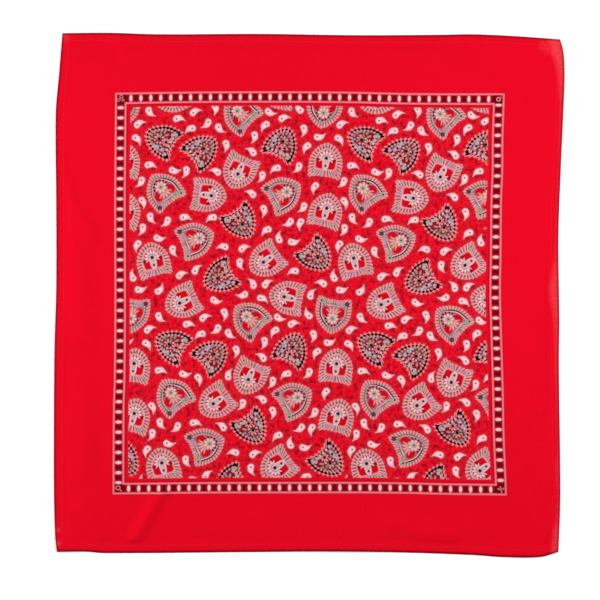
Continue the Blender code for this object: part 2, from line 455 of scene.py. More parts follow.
# Drops whose body turns clockwise from head to tail, and those that turn the other way.
CLOCKWISE_DROPS = (
    Drop(137.5, 124.6, 145.2, 122.1), Drop(135.6, 137.5, 140.2, 144.8),
    Drop(148.3, 164.8, 156.8, 167.5), Drop(141.8, 179.8, 135.6, 187, Rows.UPPER),
    Drop(141.9, 200, 143.8, 208.4), Drop(176.7, 118.6, 185.6, 120.5),
    Drop(193.4, 112.6, 201.5, 110.3), Drop(208.3, 121.9, 201.4, 127.2),
    Drop(214.9, 106.1, 214.4, 115.3), Drop(226, 143.2, 224.8, 150.9),
    Drop(186.4, 169.4, 182.5, 177.5, Rows.UPPER), Drop(187.7, 171.5, 189.2, 180.2, Rows.LOWER),
    Drop(232.5, 196.6, 227.5, 204.1, Rows.LOWER), Drop(167.9, 219.8, 161, 226.3),
    Drop(142.8, 226.8, 139.1, 234.5), Drop(183.3, 217.1, 191.8, 219.8),
    Drop(195.2, 270.9, 201.4, 265.5), Drop(179.5, 275.5, 187.5, 272.8),
    Drop(133.3, 277.8, 132.9, 270.2), Drop(282, 118.5, 289.8, 117.8),
    Drop(300.5, 110, 297.5, 102), Drop(254.6, 134.6, 251.7, 143),
    Drop(262.4, 174.4, 258.3, 181.5), Drop(303.8, 127.8, 301.8, 137.1),
    Drop(299.1, 165.5, 293.3, 172.1), Drop(218.2, 171, 222.1, 163.1, Rows.LOWER),
    Drop(263.6, 208.2, 262.5, 217.3, Rows.UPPER), Drop(261.9, 204.3, 260.8, 213.4, Rows.LOWER),
    Drop(304.1, 205.5, 298.3, 211.3), Drop(290.5, 221.1, 282.9, 224.8),
    Drop(279.5, 239.5, 280.2, 231.7), Drop(242, 248.8, 249.8, 246.7),
    Drop(265.3, 284.6, 272.3, 280.7), Drop(244.8, 294, 236.4, 294.4),
    Drop(260.6, 297.8, 267.5, 302.5), Drop(310.6, 295.9, 315.6, 289),
)
COUNTER_DROPS = (
    Drop(149, 110, 155.5, 115.8), Drop(192.5, 128.1, 184.8, 133.6),
    Drop(218.6, 126.6, 225.9, 132.3), Drop(172.5, 169.8, 180.2, 169.4, Rows.UPPER),
    Drop(172.5, 167.8, 180.2, 167.4, Rows.LOWER), Drop(217.9, 172.1, 210.2, 170.5, Rows.UPPER),
    Drop(150.5, 215.8, 155.8, 223.5),
    Drop(157.2, 237.5, 165.6, 237.1), Drop(138.4, 243.3, 136.5, 252.5),
    Drop(172.9, 248.5, 177.2, 256.3, Rows.UPPER), Drop(175.9, 253.2, 180.5, 261.2, Rows.LOWER),
    Drop(213.7, 217.1, 206.4, 221.7, Rows.UPPER), Drop(213.2, 221.9, 205.6, 217.2, Rows.LOWER),
    Drop(225.2, 246.7, 216.8, 248.2), Drop(138.3, 289.2, 146.4, 286.7),
    Drop(158.2, 290.9, 162.5, 283.6), Drop(213.8, 299.5, 221.5, 300.6),
    Drop(268.3, 111.1, 277.5, 113.2), Drop(266.5, 124.2, 261.8, 131.7),
    Drop(253.3, 152.6, 246.2, 148.6), Drop(277.7, 167.8, 271.4, 172.5),
    Drop(317.5, 136.7, 325.2, 133.6), Drop(307.9, 145.5, 304.1, 153.2),
    Drop(315.8, 185.4, 313.7, 194), Drop(253, 194.4, 244.8, 191.3),
    Drop(301.2, 221.5, 300.2, 229.8), Drop(268.3, 229.2, 262.2, 235.2),
    Drop(291.5, 241.5, 299.5, 239.4), Drop(240, 261.3, 243.3, 269.4),
    Drop(295.6, 270.8, 288.3, 274), Drop(253.5, 285.2, 248.3, 278.6),
    Drop(323.7, 283.6, 315.2, 282.5),
)


class Floret(NamedTuple):
    """A tiny dark flower in a gap of the chart."""

    across: float
    down: float


FLORETS = (
    Floret(199, 120), Floret(149, 153), Floret(304, 176), Floret(330, 187),
    Floret(285, 247), Floret(312, 277), Floret(156, 304), Floret(222, 157),
    Floret(246, 205), Floret(178, 203), Floret(262, 143), Floret(209, 236),
)


class CornerMark(NamedTuple):
    """A small ring or dot in a corner block: which corner, its place in millimetres, its size."""

    side: float
    end: float
    inward: float
    upward: float
    radius: float
    half: float


# Left top: three curls. Right top: a leaf. Left bottom: a crescent and a dot. Right bottom: a rosette.
CORNER_MARKS = (
    CornerMark(-1, 1, -2.4, 1.6, 1.5, 0.4), CornerMark(-1, 1, 2.3, 1.9, 1.2, 0.4),
    CornerMark(-1, 1, 0.4, -2.0, 1.6, 0.45),
    CornerMark(1, 1, 0.3, 0.2, 1.9, 0.7), CornerMark(1, 1, -2.4, -2.0, 0.0, 0.7),
    CornerMark(-1, -1, -0.4, 0.8, 2.2, 0.55), CornerMark(-1, -1, 2.6, -2.2, 0.0, 0.9),
    CornerMark(1, -1, 0.0, 0.0, 0.9, 0.4), CornerMark(1, -1, 2.6, 0.8, 0.7, 0.4),
    CornerMark(1, -1, -2.5, 1.0, 0.7, 0.4), CornerMark(1, -1, 0.6, 2.7, 0.0, 0.8),
    CornerMark(1, -1, -0.8, -2.7, 0.0, 0.8),
)


class PaintedHighlightSpot(NamedTuple):
    """A paler spot of painted highlight near an edge, in millimetres of the flat cloth."""

    x: float
    y: float
    radius: float
    strength: float


# painted highlights near the corners
PAINTED_HIGHLIGHT_SPOTS = (
    PaintedHighlightSpot(-269, 276, 5, 0.45),
    PaintedHighlightSpot(-270, -270, 3.5, 0.7),
    PaintedHighlightSpot(-270, -256, 3, 0.5),
    PaintedHighlightSpot(254, 270, 7, 0.4),
)

# Reach of the pale band of painted highlight inwards from the right edge, in 15 mm, by the way up the
# cloth.
PAINTED_HIGHLIGHT_REACH = (
    (0, 0.54), (0.02, 0.5), (0.04, 0.43), (0.065, 0.22), (0.11, 0.1), (0.16, 0.2),
    (0.21, 0.08), (0.3, 0.12), (0.39, 0.2), (0.44, 0.3), (0.48, 0.48), (0.505, 0.6),
    (0.53, 0.5), (0.56, 0.27), (0.6, 0.1), (0.8, 0.1), (0.86, 0.16), (0.9, 0.32),
    (0.93, 0.46), (0.966, 0.8), (1, 1),
)


class RimPoint(NamedTuple):
    """Radius of a motif's outline at an angle from the top of its dome, in degrees."""

    angle: float
    radius: float


def rim(*pairs: tuple[float, float]) -> tuple[RimPoint, ...]:
    """Half of a motif's outline, from its pairs of angle and radius."""
    return tuple(RimPoint(*pair) for pair in pairs)


RIMS: dict[Design, tuple[RimPoint, ...]] = {
    Design.PETAL: rim(
        (0, 20.3), (8, 19.9), (16, 19.3), (27, 18.7), (39, 18.1), (52, 17.6), (66, 17.5),
        (80, 17.7), (92, 18.0), (108, 19.0), (120, 20.8), (130, 23.0), (137, 24.4),
        (142, 22.6), (148, 20.0), (156, 17.9), (165, 16.8), (180, 16.6),
    ),
    Design.BEADED: rim(
        (0, 20.3), (10, 19.6), (20, 18.6), (30, 17.5), (42, 16.4), (54, 15.9), (68, 15.8),
        (80, 16.2), (90, 16.7), (107, 18.0), (120, 19.9), (128, 21.6), (134, 21.8),
        (139, 18.8), (146, 15.2), (155, 12.9), (166, 11.8), (180, 11.8),
    ),
    Design.FLOWER: rim(
        (0, 21.0), (8, 20.2), (17, 19.2), (28, 18.3), (40, 17.7), (58, 17.6), (72, 18.1),
        (85, 18.7), (97, 19.4), (112, 20.9), (124, 23.0), (132, 24.7), (137, 25.2),
        (142, 23.8), (148, 20.9), (156, 18.2), (166, 16.9), (180, 16.5),
    ),
}


@dataclass(frozen=True)
class Placed:
    """A motif on the flat cloth: its middle, its turn in radians, and what it is."""

    p: float
    q: float
    turn: float
    kind: int
    mirrored: bool = False

    def local(self, p: Array, q: Array) -> tuple[Array, Array]:
        """Flat places seen from the motif, whose own first axis is at its turn."""
        return turned(p - self.p, q - self.q, self.turn, self.flip)

    @property
    def flip(self) -> float:
        """Minus one for a mirrored motif."""
        return -1.0 if self.mirrored else 1.0


def turned(p: Array, q: Array, turn: Union[Array, float], flip: Union[Array, float]) -> tuple:
    """Places seen along two axes that are turned, the second one flipped too."""
    c, s = np.cos(turn), np.sin(turn)
    return p * c + q * s, (q * c - p * s) * flip


@dataclass(frozen=True)
class PrintChart:
    """The repeat and the window that it fills. Chart places are in steps, right and down."""

    cloth: LaidCloth
    step: float = 1.081
    middle_across: float = 308.05
    middle_down: float = 293.5
    next_right: tuple[float, float] = (202.4, 1.2)
    next_down: tuple[float, float] = (10.6, 205.8)
    field_inset: float = 14.7
    motif_reach: float = 27.0
    floret_turn: float = 0.9

    def place(self, across: float, down: float) -> tuple[float, float]:
        """The flat place of a place on the chart.

        Args:
            across: steps to the right.
            down: steps down.

        Returns:
            The place across and along the cloth.
        """
        x = np.array((across - self.middle_across) * self.step)
        y = np.array((self.middle_down - down) * self.step)
        p, q = self.cloth.flat(x, y)
        return float(p), float(q)

    def repeated(self, motif: Placed, rows: Rows = Rows.ALL) -> list[Placed]:
        """A motif in every repeat where it reaches into the field.

        Args:
            motif: the motif at its chart place.
            rows: the rows of the repeat that hold it.

        Returns:
            It and its likes.
        """
        half_across = self.cloth.frame_across - self.field_inset + self.motif_reach
        half_along = self.cloth.frame_along - self.field_inset + self.motif_reach
        found = []
        for row in filter(rows.hold, range(-1, 3)):
            for i in range(-1, 3):
                across = (self.next_right[0] * i + self.next_down[0] * row) * self.step
                down = (self.next_right[1] * i + self.next_down[1] * row) * self.step
                here = replace(motif, p=motif.p + across, q=motif.q - down)
                if abs(here.p) < half_across and abs(here.q) < half_along:
                    found.append(here)
        return found

    def large(self) -> list[Placed]:
        """Places every large motif, its second axis towards its dome.

        Returns:
            The motifs, design after design.
        """
        found = []
        for design, spots in SPOTS.items():
            for spot in spots:
                p, q = self.place(spot.across, spot.down)
                turn = math.radians(spot.turn - 90.0)
                found += self.repeated(Placed(p, q, turn, design.value), spot.rows)
        return found

    def small(self) -> list[Placed]:
        """Places every drop and floret; a drop's first axis is towards its tail.

        Returns:
            The drops of either kind, and after them the florets.
        """
        found = []
        for drops, mirrored in ((CLOCKWISE_DROPS, False), (COUNTER_DROPS, True)):
            for drop in drops:
                p, q = self.place(drop.head_across, drop.head_down)
                tail_p, tail_q = self.place(drop.tail_across, drop.tail_down)
                turn = math.atan2(tail_q - q, tail_p - p)
                found += self.repeated(Placed(p, q, turn, 0, mirrored), drop.rows)
        for index, floret in enumerate(FLORETS):
            p, q = self.place(floret.across, floret.down)
            found += self.repeated(Placed(p, q, self.floret_turn * index, 1))
        return found


# ---------------------------------------------------------------- shader maths

Number = Union["Signal", float]
Socket = bpy.types.NodeSocket
Colour = Union[tuple[float, float, float], Socket]


def operator(operation: str, swapped: bool = False) -> Callable[["Signal", Number], "Signal"]:
    """Makes one of a Signal's own operators.

    Args:
        operation: what its Math node does.
        swapped: whether the other number comes first.

    Returns:
        The method, which adds the node over the signal and another number.
    """

    def combined(self: "Signal", other: Number) -> "Signal":
        """Adds the node."""
        first, second = (other, self) if swapped else (self, other)
        return self.tree.math(operation, first, second)

    return combined


class Signal:
    """A number that varies over a surface. Its operators add Math nodes to its tree."""

    __add__ = __radd__ = operator("ADD")
    __sub__, __rsub__ = operator("SUBTRACT"), operator("SUBTRACT", swapped=True)
    __mul__ = __rmul__ = operator("MULTIPLY")
    __truediv__ = operator("DIVIDE")
    __pow__ = operator("POWER")
    __gt__, __lt__ = operator("GREATER_THAN"), operator("LESS_THAN")

    def __init__(self, tree: "ShaderTree", socket: Socket) -> None:
        """Keeps the tree that the socket is in, and the socket."""
        self.tree = tree
        self.socket = socket

    def __abs__(self) -> "Signal":
        """Size without sign."""
        return self.tree.math("ABSOLUTE", self)

    def call(self, operation: str, *others: Number) -> "Signal":
        """Any other operation of a Math node."""
        return self.tree.math(operation, self, *others)

    def clamped(self, low: float = 0.0, high: float = 1.0) -> "Signal":
        """Held between two numbers."""
        return self.call("MAXIMUM", low).call("MINIMUM", high)

    def rounded(self) -> "Signal":
        """The nearest whole number."""
        return self.call("ROUND")

    def sine(self, pitch: float) -> "Signal":
        """A wave of that pitch along the signal, nothing where the signal is nothing."""
        return (self * (2.0 * math.pi / pitch)).call("SINE")

    def wave(self, pitch: float) -> "Signal":
        """A wave of that pitch along the signal, one where the signal is nothing."""
        return (self * (2.0 * math.pi / pitch)).call("COSINE")


def far(x: Signal, y: Signal) -> Signal:
    """Distance of a place from the point that its two numbers are measured from."""
    return (x * x + y * y).call("SQRT")


def shifted(value: Signal, shift: float) -> Signal:
    """A signal with a number added, where there is one to add."""
    return value + shift if shift else value


def ink(red: int, green: int, blue: int) -> tuple[float, float, float]:
    """A display colour from 0 to 255 as the linear numbers that a shader takes."""

    def linear(value: int) -> float:
        """One of the three."""
        share = value / 255.0
        return share / 12.92 if share <= 0.04045 else ((share + 0.055) / 1.055) ** 2.4

    return linear(red), linear(green), linear(blue)


class Patches(NamedTuple):
    """Soft patches of noise: its scale, the two levels that they rise between, and its shift."""

    scale: float
    low: float
    high: float
    shift: float = 0.0


class ShaderTree:
    """Builds the nodes of one material."""

    thread_scale: float = 1.6

    def __init__(self, name: str) -> None:
        """Adds a material of that name, with nothing in its tree but a shader and an output."""
        self.material = bpy.data.materials.new(name)
        self.material.use_nodes = True
        self.nodes = self.material.node_tree.nodes
        self.links = self.material.node_tree.links
        self.nodes.clear()
        self.shader = self.nodes.new("ShaderNodeBsdfPrincipled")
        output = self.nodes.new("ShaderNodeOutputMaterial")
        self.links.new(self.shader.outputs["BSDF"], output.inputs["Surface"])

    def feed(self, socket: Socket, value: Union[Number, Colour]) -> None:
        """Links a signal or a socket to a socket, or sets a plain value on it.

        Args:
            socket: what takes the value.
            value: the signal, socket, colour or number.
        """
        if isinstance(value, Signal):
            value = value.socket
        if isinstance(value, bpy.types.NodeSocket):
            self.links.new(value, socket)
        elif isinstance(value, tuple) and socket.type == "RGBA":
            socket.default_value = (*value, 1.0)
        else:
            socket.default_value = value

    def node(self, kind: str, settings: dict, inputs: dict) -> bpy.types.Node:
        """Adds a node.

        Args:
            kind: the node's type.
            settings: its own properties, set before its sockets.
            inputs: a value, signal or socket for each input, by name or number.

        Returns:
            The node.
        """
        node = self.nodes.new(kind)
        for name, value in settings.items():
            setattr(node, name, value)
        for name, value in inputs.items():
            self.feed(node.inputs[name], value)
        return node

    def math(self, operation: str, *values: Number) -> Signal:
        """One Math node over its values."""
        node = self.node("ShaderNodeMath", {"operation": operation}, dict(enumerate(values)))
        return Signal(self, node.outputs[0])

    def mask(self, distance: Signal, softness: float = 0.6) -> Signal:
        """One inside a shape and nothing outside, over a soft border in millimetres."""
        settings = {"operation": "MULTIPLY_ADD", "use_clamp": True}
        node = self.node("ShaderNodeMath", settings, {0: distance, 1: 1.0 / softness, 2: 0.5})
        return Signal(self, node.outputs[0])

    def eased(self, value: Signal, low: float, high: float) -> Signal:
        """Nothing at low, one at high, on an easy curve between."""
        settings = {"interpolation_type": "SMOOTHSTEP"}
        inputs = {"Value": value, "From Min": low, "From Max": high}
        return Signal(self, self.node("ShaderNodeMapRange", settings, inputs).outputs[0])

    def mixed(self, share: Number, first: Colour, second: Colour) -> Socket:
        """Two colours mixed: the first at 0, the second at 1."""
        settings = {"data_type": "RGBA", "clamp_factor": True}
        return self.node("ShaderNodeMix", settings, {0: share, 6: first, 7: second}).outputs[2]

    def curve(self, value: Signal, points: Sequence[tuple[float, float]]) -> Signal:
        """A smooth curve over a signal.

        Args:
            value: the signal, from 0 to 1.
            points: what the curve goes through, each number from 0 to 1.

        Returns:
            The curve's height.
        """
        node = self.node("ShaderNodeFloatCurve", {}, {"Value": value})
        knots = node.mapping.curves[0].points
        for knot, point in zip(knots, (points[0], points[-1])):
            knot.location = point
        for point in points[1:-1]:
            knots.new(*point)
        node.mapping.update()
        return Signal(self, node.outputs[0])

    def map(self, name: str) -> tuple[Signal, Signal]:
        """The two numbers of one of the piece's own maps."""
        place = self.node("ShaderNodeUVMap", {"uv_map": name}, {}).outputs[0]
        parts = self.node("ShaderNodeSeparateXYZ", {}, {0: place})
        return Signal(self, parts.outputs[0]), Signal(self, parts.outputs[1])

    def place(self, axes: int) -> list[Signal]:
        """The first few coordinates of the piece's own place, in millimetres."""
        place = self.node("ShaderNodeTexCoord", {}, {}).outputs["Object"]
        parts = self.node("ShaderNodeSeparateXYZ", {}, {0: place})
        return [Signal(self, part) / MM for part in parts.outputs[:axes]]

    def noise(self, x: Signal, y: Signal) -> Signal:
        """Even noise about one half, over two numbers."""
        settings = {"noise_dimensions": "2D"}
        place = self.node("ShaderNodeCombineXYZ", {}, {0: x, 1: y, 2: 0.0}).outputs[0]
        inputs = {"Vector": place, "Scale": 1.0, "Detail": 2.0}
        return Signal(self, self.node("ShaderNodeTexNoise", settings, inputs).outputs[0])

    def patches(self, p: Signal, q: Signal, patches: Patches) -> Signal:
        """How far each place is in a patch of noise, from 0 to 1."""
        noise = self.noise(shifted(p * patches.scale, patches.shift), q * patches.scale)
        return self.eased(noise, patches.low, patches.high)

    def slubs(self, p: Signal, q: Signal, along: float, shift: float = 0.0) -> Signal:
        """Thicker and thinner threads both ways, by noise of that scale along a thread."""
        slub_p = self.noise(p * self.thread_scale, q * along)
        slub_q = self.noise(shifted(p * along, shift), q * self.thread_scale)
        return slub_p + slub_q - 1.0

    def lit(self, colour: Colour, value: Number) -> Socket:
        """A colour made lighter or darker by a factor."""
        inputs = {"Color": colour, "Value": value}
        return self.node("ShaderNodeHueSaturation", {}, inputs).outputs[0]

    def surface(self, colour: Colour, roughness: float, specular: float) -> None:
        """Sets the shader's colour, how rough it is and how strongly it shines."""
        inputs = self.shader.inputs
        self.feed(inputs["Base Color"], colour)
        inputs["Roughness"].default_value = roughness
        inputs["Specular IOR Level"].default_value = specular

    def bump(self, height: Signal, strength: float) -> None:
        """Raises the surface by a height in millimetres."""
        inputs = {"Height": height, "Strength": strength, "Distance": MM}
        node = self.node("ShaderNodeBump", {}, inputs)
        self.feed(self.shader.inputs["Normal"], node.outputs[0])


class Layers:
    """Inks laid one on the other, at flat places p and q. The window is where motifs show."""

    def __init__(self, tree: ShaderTree, ground: Colour) -> None:
        """Starts with the bare ground."""
        self.tree = tree
        self.colour = ground
        self.window: Number = 1.0
        self.p, self.q = tree.map("flat")

    def fresh(self) -> "Layers":
        """Layers of their own that start with what these show."""
        return copy(self)

    def lay(self, mask: Signal, colour: Colour) -> None:
        """Puts an ink on where its mask is one."""
        self.colour = self.tree.mixed(mask, self.colour, colour)


# ---------------------------------------------------------------- finishes


@dataclass(frozen=True)
class Inks:
    """Colours of the print, as they look on the cloth, and of the painted shade and highlight at its
    edges.
    """

    ground: tuple = ink(240, 4, 34)
    vivid: tuple = ink(255, 0, 30)
    white: tuple = ink(254, 216, 221)
    warm: tuple = ink(250, 200, 198)
    pink: tuple = ink(255, 150, 158)
    line: tuple = ink(255, 136, 142)
    deep: tuple = ink(216, 4, 28)
    rib: tuple = ink(234, 174, 170)
    rib_pink: tuple = ink(242, 148, 160)
    rib_gap: tuple = ink(142, 50, 60)
    blush: tuple = ink(255, 198, 202)
    grey: tuple = ink(206, 172, 166)
    lilac: tuple = ink(196, 152, 182)
    mist: tuple = ink(206, 182, 196)
    spoke: tuple = ink(236, 180, 186)
    band_red: tuple = ink(186, 14, 44)
    cream: tuple = ink(240, 198, 178)
    green: tuple = ink(168, 172, 150)
    frame_line: tuple = ink(255, 122, 132)
    maroon: tuple = ink(108, 0, 8)
    # painted shade along the folded edges
    edge: tuple = ink(120, 4, 22)
    # painted highlight on the puckered hem and near the corners
    highlight_red: tuple = ink(255, 66, 78)
    square: tuple = ink(114, 0, 6)
    oval: tuple = ink(255, 206, 208)
    petal_pink: tuple = ink(236, 122, 136)
    dusk: tuple = ink(196, 96, 108)
    rosy: tuple = ink(224, 40, 62)
    dull: tuple = ink(180, 52, 64)
    navy: tuple = ink(58, 44, 62)
    wine: tuple = ink(158, 4, 30)
    dark: tuple = ink(24, 6, 8)
    soot: tuple = ink(96, 82, 78)
    ash: tuple = ink(128, 106, 108)


class Dot(NamedTuple):
    """A round spot in a large motif: its place and radius, its ink and how much of it."""

    x: float
    y: float
    radius: float
    ink: tuple
    share: float = 1.0


PETAL_DOTS = (
    Dot(0.0, 3.9, 2.2, Inks.soot, 0.7), Dot(0.0, 3.5, 1.5, Inks.dark),
    Dot(0.0, -4.8, 1.3, Inks.maroon), Dot(-3.0, -12.4, 3.2, Inks.lilac, 0.5),
    Dot(6.5, -13.2, 2.4, Inks.green, 0.4), Dot(-13.0, -13.6, 2.9, Inks.mist, 0.6),
    Dot(13.0, -13.0, 2.9, Inks.green, 0.6),
)
BEADED_SIDE_DOTS = (Dot(-8.4, -0.6, 1.3, Inks.dark), Dot(-6.6, 5.6, 1.0, Inks.dark))
BEADED_MIDDLE_DOTS = (
    Dot(5.0, -7.4, 1.7, Inks.green), Dot(10.2, -6.4, 2.0, Inks.mist, 0.8),
    Dot(0.6, 5.6, 2.6, Inks.green, 0.8), Dot(0.0, 4.9, 1.8, Inks.dark),
)
BEADED_TIP_DOTS = (Dot(12.0, -9.4, 2.0, Inks.green), Dot(-12.2, -9.0, 1.4, Inks.mist, 0.8))
FLOWER_DOTS = (
    Dot(5.6, -13.2, 2.6, Inks.green, 0.7), Dot(-6.0, -12.6, 3.0, Inks.lilac, 0.5),
    Dot(-14.0, -13.4, 2.6, Inks.navy, 0.9), Dot(14.4, -14.4, 2.8, Inks.green, 0.8),
    Dot(14.0, -14.0, 1.0, Inks.dark),
)
SPEAR_WIDTH = ((0, 0), (0.08, 0.6), (0.25, 0.9), (0.5, 1), (0.72, 1), (0.9, 0.68), (1, 0))


@dataclass(frozen=True)
class MotifSpace:
    """What a large motif is drawn with: its layers, and signals in millimetres."""

    layers: Layers
    x: Signal
    y: Signal
    depth: Signal
    along: Signal
    rib: Socket
    band: Socket

    @property
    def tree(self) -> ShaderTree:
        """The material's nodes."""
        return self.layers.tree

    def disc(self, x: float, y: float, radius: float) -> Signal:
        """A round spot and its mirror image on the other side of the motif."""
        return self.tree.mask(radius - far(abs(self.x) - x, self.y - y))

    def spot(self, x: float, y: float, radius: float) -> Signal:
        """A round spot on one side only."""
        return self.tree.mask(radius - far(self.x - x, self.y - y), 0.7)

    def stamp(self, dots: tuple[Dot, ...]) -> None:
        """Lays round spots, each in its ink, the lowest first."""
        for dot in dots:
            mask = self.spot(dot.x, dot.y, dot.radius)
            self.layers.lay(mask * dot.share if dot.share < 1.0 else mask, dot.ink)

    def around(self, x: float, y: float) -> tuple[Signal, Signal]:
        """Distance from a point on the motif's own line, and the angle from straight up."""
        dx, dy = self.x - x, self.y - y
        return far(dx, dy), abs(dx).call("ARCTAN2", dy)

    def ring(self, eye: tuple, count: int, radius: float, half: tuple, last: float) -> Signal:
        """A ring of oval dots about a point, from the top round to an angle on both sides.

        Args:
            eye: distance and angle about the ring's middle.
            count: dots in a whole turn.
            radius: of the ring.
            half: half of a dot's size, round the ring and outwards.
            last: angle past which there are none.

        Returns:
            The dots' mask.
        """
        distance, angle = eye
        turn = angle * (count / (2.0 * math.pi))
        offset = (turn - turn.rounded()) * (2.0 * math.pi / count) * distance / half[0]
        out = (distance - radius) / half[1]
        oval = (1.0 - far(offset, out)) * min(half)
        return self.tree.mask(oval) * (angle < last)


@dataclass(frozen=True)
class LargeMotifs:
    """Drawing of the three large motifs. Places are in millimetres from a motif's middle."""

    inks: Inks = Inks()
    radius_scale: float = 30.0
    length_scale: float = 110.0
    angle_step: float = 0.012
    petal_pitch: float = 4.1
    bead_pitch: float = 4.6
    flower_pitch: float = 3.7
    halo: float = 2.0
    halo_softness: float = 3.6
    halo_share: float = 0.45
    patchy: Patches = Patches(0.16, 0.38, 0.62)
    tinted: Patches = Patches(0.12, 0.4, 0.6, 30.0)
    specks: Patches = Patches(0.5, 0.54, 0.66, 80.0)

    @staticmethod
    def outline_length(points: tuple[RimPoint, ...]) -> list[tuple[float, float]]:
        """Way along an outline from the top of its dome.

        Args:
            points: the outline.

        Returns:
            Each point's angle and the way up to it.
        """
        degrees, radii = np.array(points, dtype=float).T
        fine = np.linspace(0.0, 180.0, 181)
        radius = np.interp(fine, degrees, radii)
        x, y = radius * np.sin(np.radians(fine)), radius * np.cos(np.radians(fine))
        way = np.concatenate(([0.0], np.cumsum(np.hypot(np.diff(x), np.diff(y)))))
        return [(float(a), float(w)) for a, w in zip(degrees, np.interp(degrees, fine, way))]

    @staticmethod
    def by_design(tree: ShaderTree, angle: Signal, tables: list, scale: float, kinds: tuple) -> Signal:
        """A curve over the angle, by which design it is.

        Args:
            tree: the material's nodes.
            angle: share of half a turn from the top of the dome.
            tables: pairs of angle in degrees and value, for each design.
            scale: the largest value that a curve can show.
            kinds: one where the design is the second, and where it is the third.

        Returns:
            The value.
        """
        petal, *others = (
            tree.curve(angle, [(degrees / 180.0, value / scale) for degrees, value in table])
            for table in tables
        )
        return (petal + (others[0] - petal) * kinds[0] + (others[1] - petal) * kinds[1]) * scale

    def petal(self, m: MotifSpace) -> None:
        """A band of ribs round a fan of dots and a spear with two eyes.

        Args:
            m: the motif's layers and signals.
        """
        layers, tree, inks = m.layers, m.tree, self.inks
        ribs = m.along.wave(self.petal_pitch)
        layers.lay(tree.mask(m.depth + ribs * 0.45, 0.7), inks.line)
        layers.lay(tree.mask(m.depth - 1.1, 1.0), m.rib)
        gaps = tree.mask(-0.1 - ribs, 0.9)
        layers.lay(tree.mask(m.depth - 0.9) * gaps * 0.7, inks.rib_gap)
        specks = tree.mask(1.3 - abs(m.depth - 4.1), 1.2) * gaps
        layers.lay(specks * 0.7, inks.soot)
        wall = (m.y + 8.8).call("SMOOTH_MIN", 11.2 - abs(m.x), 5.0)
        depth = (m.depth - 6.0 + (m.y < 0.0) * 9.0).call("MINIMUM", wall)
        layers.lay(tree.mask(depth + 0.9), m.rib)
        inner = tree.mask(depth - 0.5, 1.4)
        layers.lay(inner, inks.deep)
        eye = m.around(0.0, 3.6)
        fan = tree.mask((1.98 - eye[1]) * 4.0)
        layers.lay(inner * fan, inks.wine)
        layers.lay(m.ring(eye, 19, 9.9, (1.3, 2.0), 1.6) * tree.mask(depth + 0.8), m.rib)
        layers.lay(m.ring(eye, 19, 12.0, (0.7, 0.9), 1.3), inks.soot)
        layers.lay(m.ring(eye, 12, 8.2, (0.8, 0.8), 1.7) * 0.8, inks.soot)
        layers.lay(m.ring(eye, 12, 6.2, (1.35, 2.1), 2.1), inks.warm)
        layers.lay(tree.mask(4.6 - eye[0], 0.9) * fan * 0.8, inks.lilac)
        spear = tree.curve(((m.y + 9.2) / 16.0).clamped(), SPEAR_WIDTH) * 3.6 - abs(m.x)
        layers.lay(tree.mask(spear) * tree.mask(depth + 0.9), inks.warm)
        heart = tree.mixed(tree.eased(m.y, -6.0, 4.0), inks.mist, inks.grey)
        layers.lay(tree.mask(spear - 1.1), heart)
        m.stamp(PETAL_DOTS)
        layers.lay(m.disc(13.0, -13.2, 0.9), inks.soot)

    def beaded(self, m: MotifSpace) -> None:
        """A string of black beads with small rays, round spokes about a black eye.

        Args:
            m: the motif's layers and signals.
        """
        layers, tree, inks = m.layers, m.tree, self.inks
        beads = m.along.wave(self.bead_pitch)
        rays = tree.mask(m.depth + 1.7) * tree.mask(m.y + 16.4, 1.2)
        layers.lay(rays * tree.mask(beads - 0.4, 0.8), inks.line)
        layers.lay(tree.mask(m.depth + 0.2), inks.line)
        full = tree.eased(m.y, 17.0, -2.0) * 0.5 + tree.eased(m.x, -6.0, 6.0) * 0.35
        base = tree.mask(11.0 - abs(m.x), 2.0) * (m.y < -4.0)
        tip = tree.eased(m.y, -9.0, -13.0)
        half = 0.65 - beads * 0.85 + full - base * 0.7 - tip * 0.5
        chain = tree.mask(m.depth - 0.2) * tree.mask(half - abs(m.depth - 1.6), 0.6)
        layers.lay(chain, inks.dark)
        layers.lay(tree.mask(m.depth - 2.9), inks.wine)
        dashes = tree.mask(0.8 - abs(m.depth - 3.7)) * tree.mask(beads + 0.5, 0.8)
        layers.lay(dashes, m.band)
        inner = tree.mask(m.depth - 4.3)
        eye = m.around(0.0, 4.9)
        layers.lay(m.ring(eye, 14, 8.9, (1.15, 2.9), 2.4) * inner * 0.75, m.band)
        layers.lay(m.ring(eye, 8, 4.6, (1.1, 1.3), 4.0), m.rib)
        layers.lay(m.ring(eye, 7, 6.9, (0.9, 0.9), 2.2), inks.dark)
        left = tree.mask(2.2 - abs(m.x + 8.9), 1.6) * tree.mask(6.5 - abs(m.y - 1.0), 3.0)
        layers.lay(left * tree.mask(abs(m.along.wave(3.1)) - 0.2, 0.8), inks.mist)
        m.stamp(BEADED_SIDE_DOTS)
        low = m.around(0.0, -3.6)
        layers.lay(m.ring(low, 9, 3.3, (0.8, 1.5), 4.0) * inner, m.rib)
        layers.lay(m.spot(0.0, -3.6, 1.1), inks.dark)
        layers.lay(tree.patches(m.x, m.y, self.specks) * inner * 0.6, inks.dark)
        checks = m.x.wave(self.bead_pitch)
        row = tree.mask(1.5 - abs(m.y + 8.0), 1.0) * tree.mask(12.0 - abs(m.x), 1.0)
        layers.lay(row * tree.mask(0.1 - checks, 1.0) * 0.8, inks.spoke)
        layers.lay(row * tree.mask(checks - 0.2, 0.8) * 0.9, inks.dark)
        m.stamp(BEADED_MIDDLE_DOTS)
        layers.lay(m.disc(13.4, -11.0, 2.5), inks.dark)
        m.stamp(BEADED_TIP_DOTS)

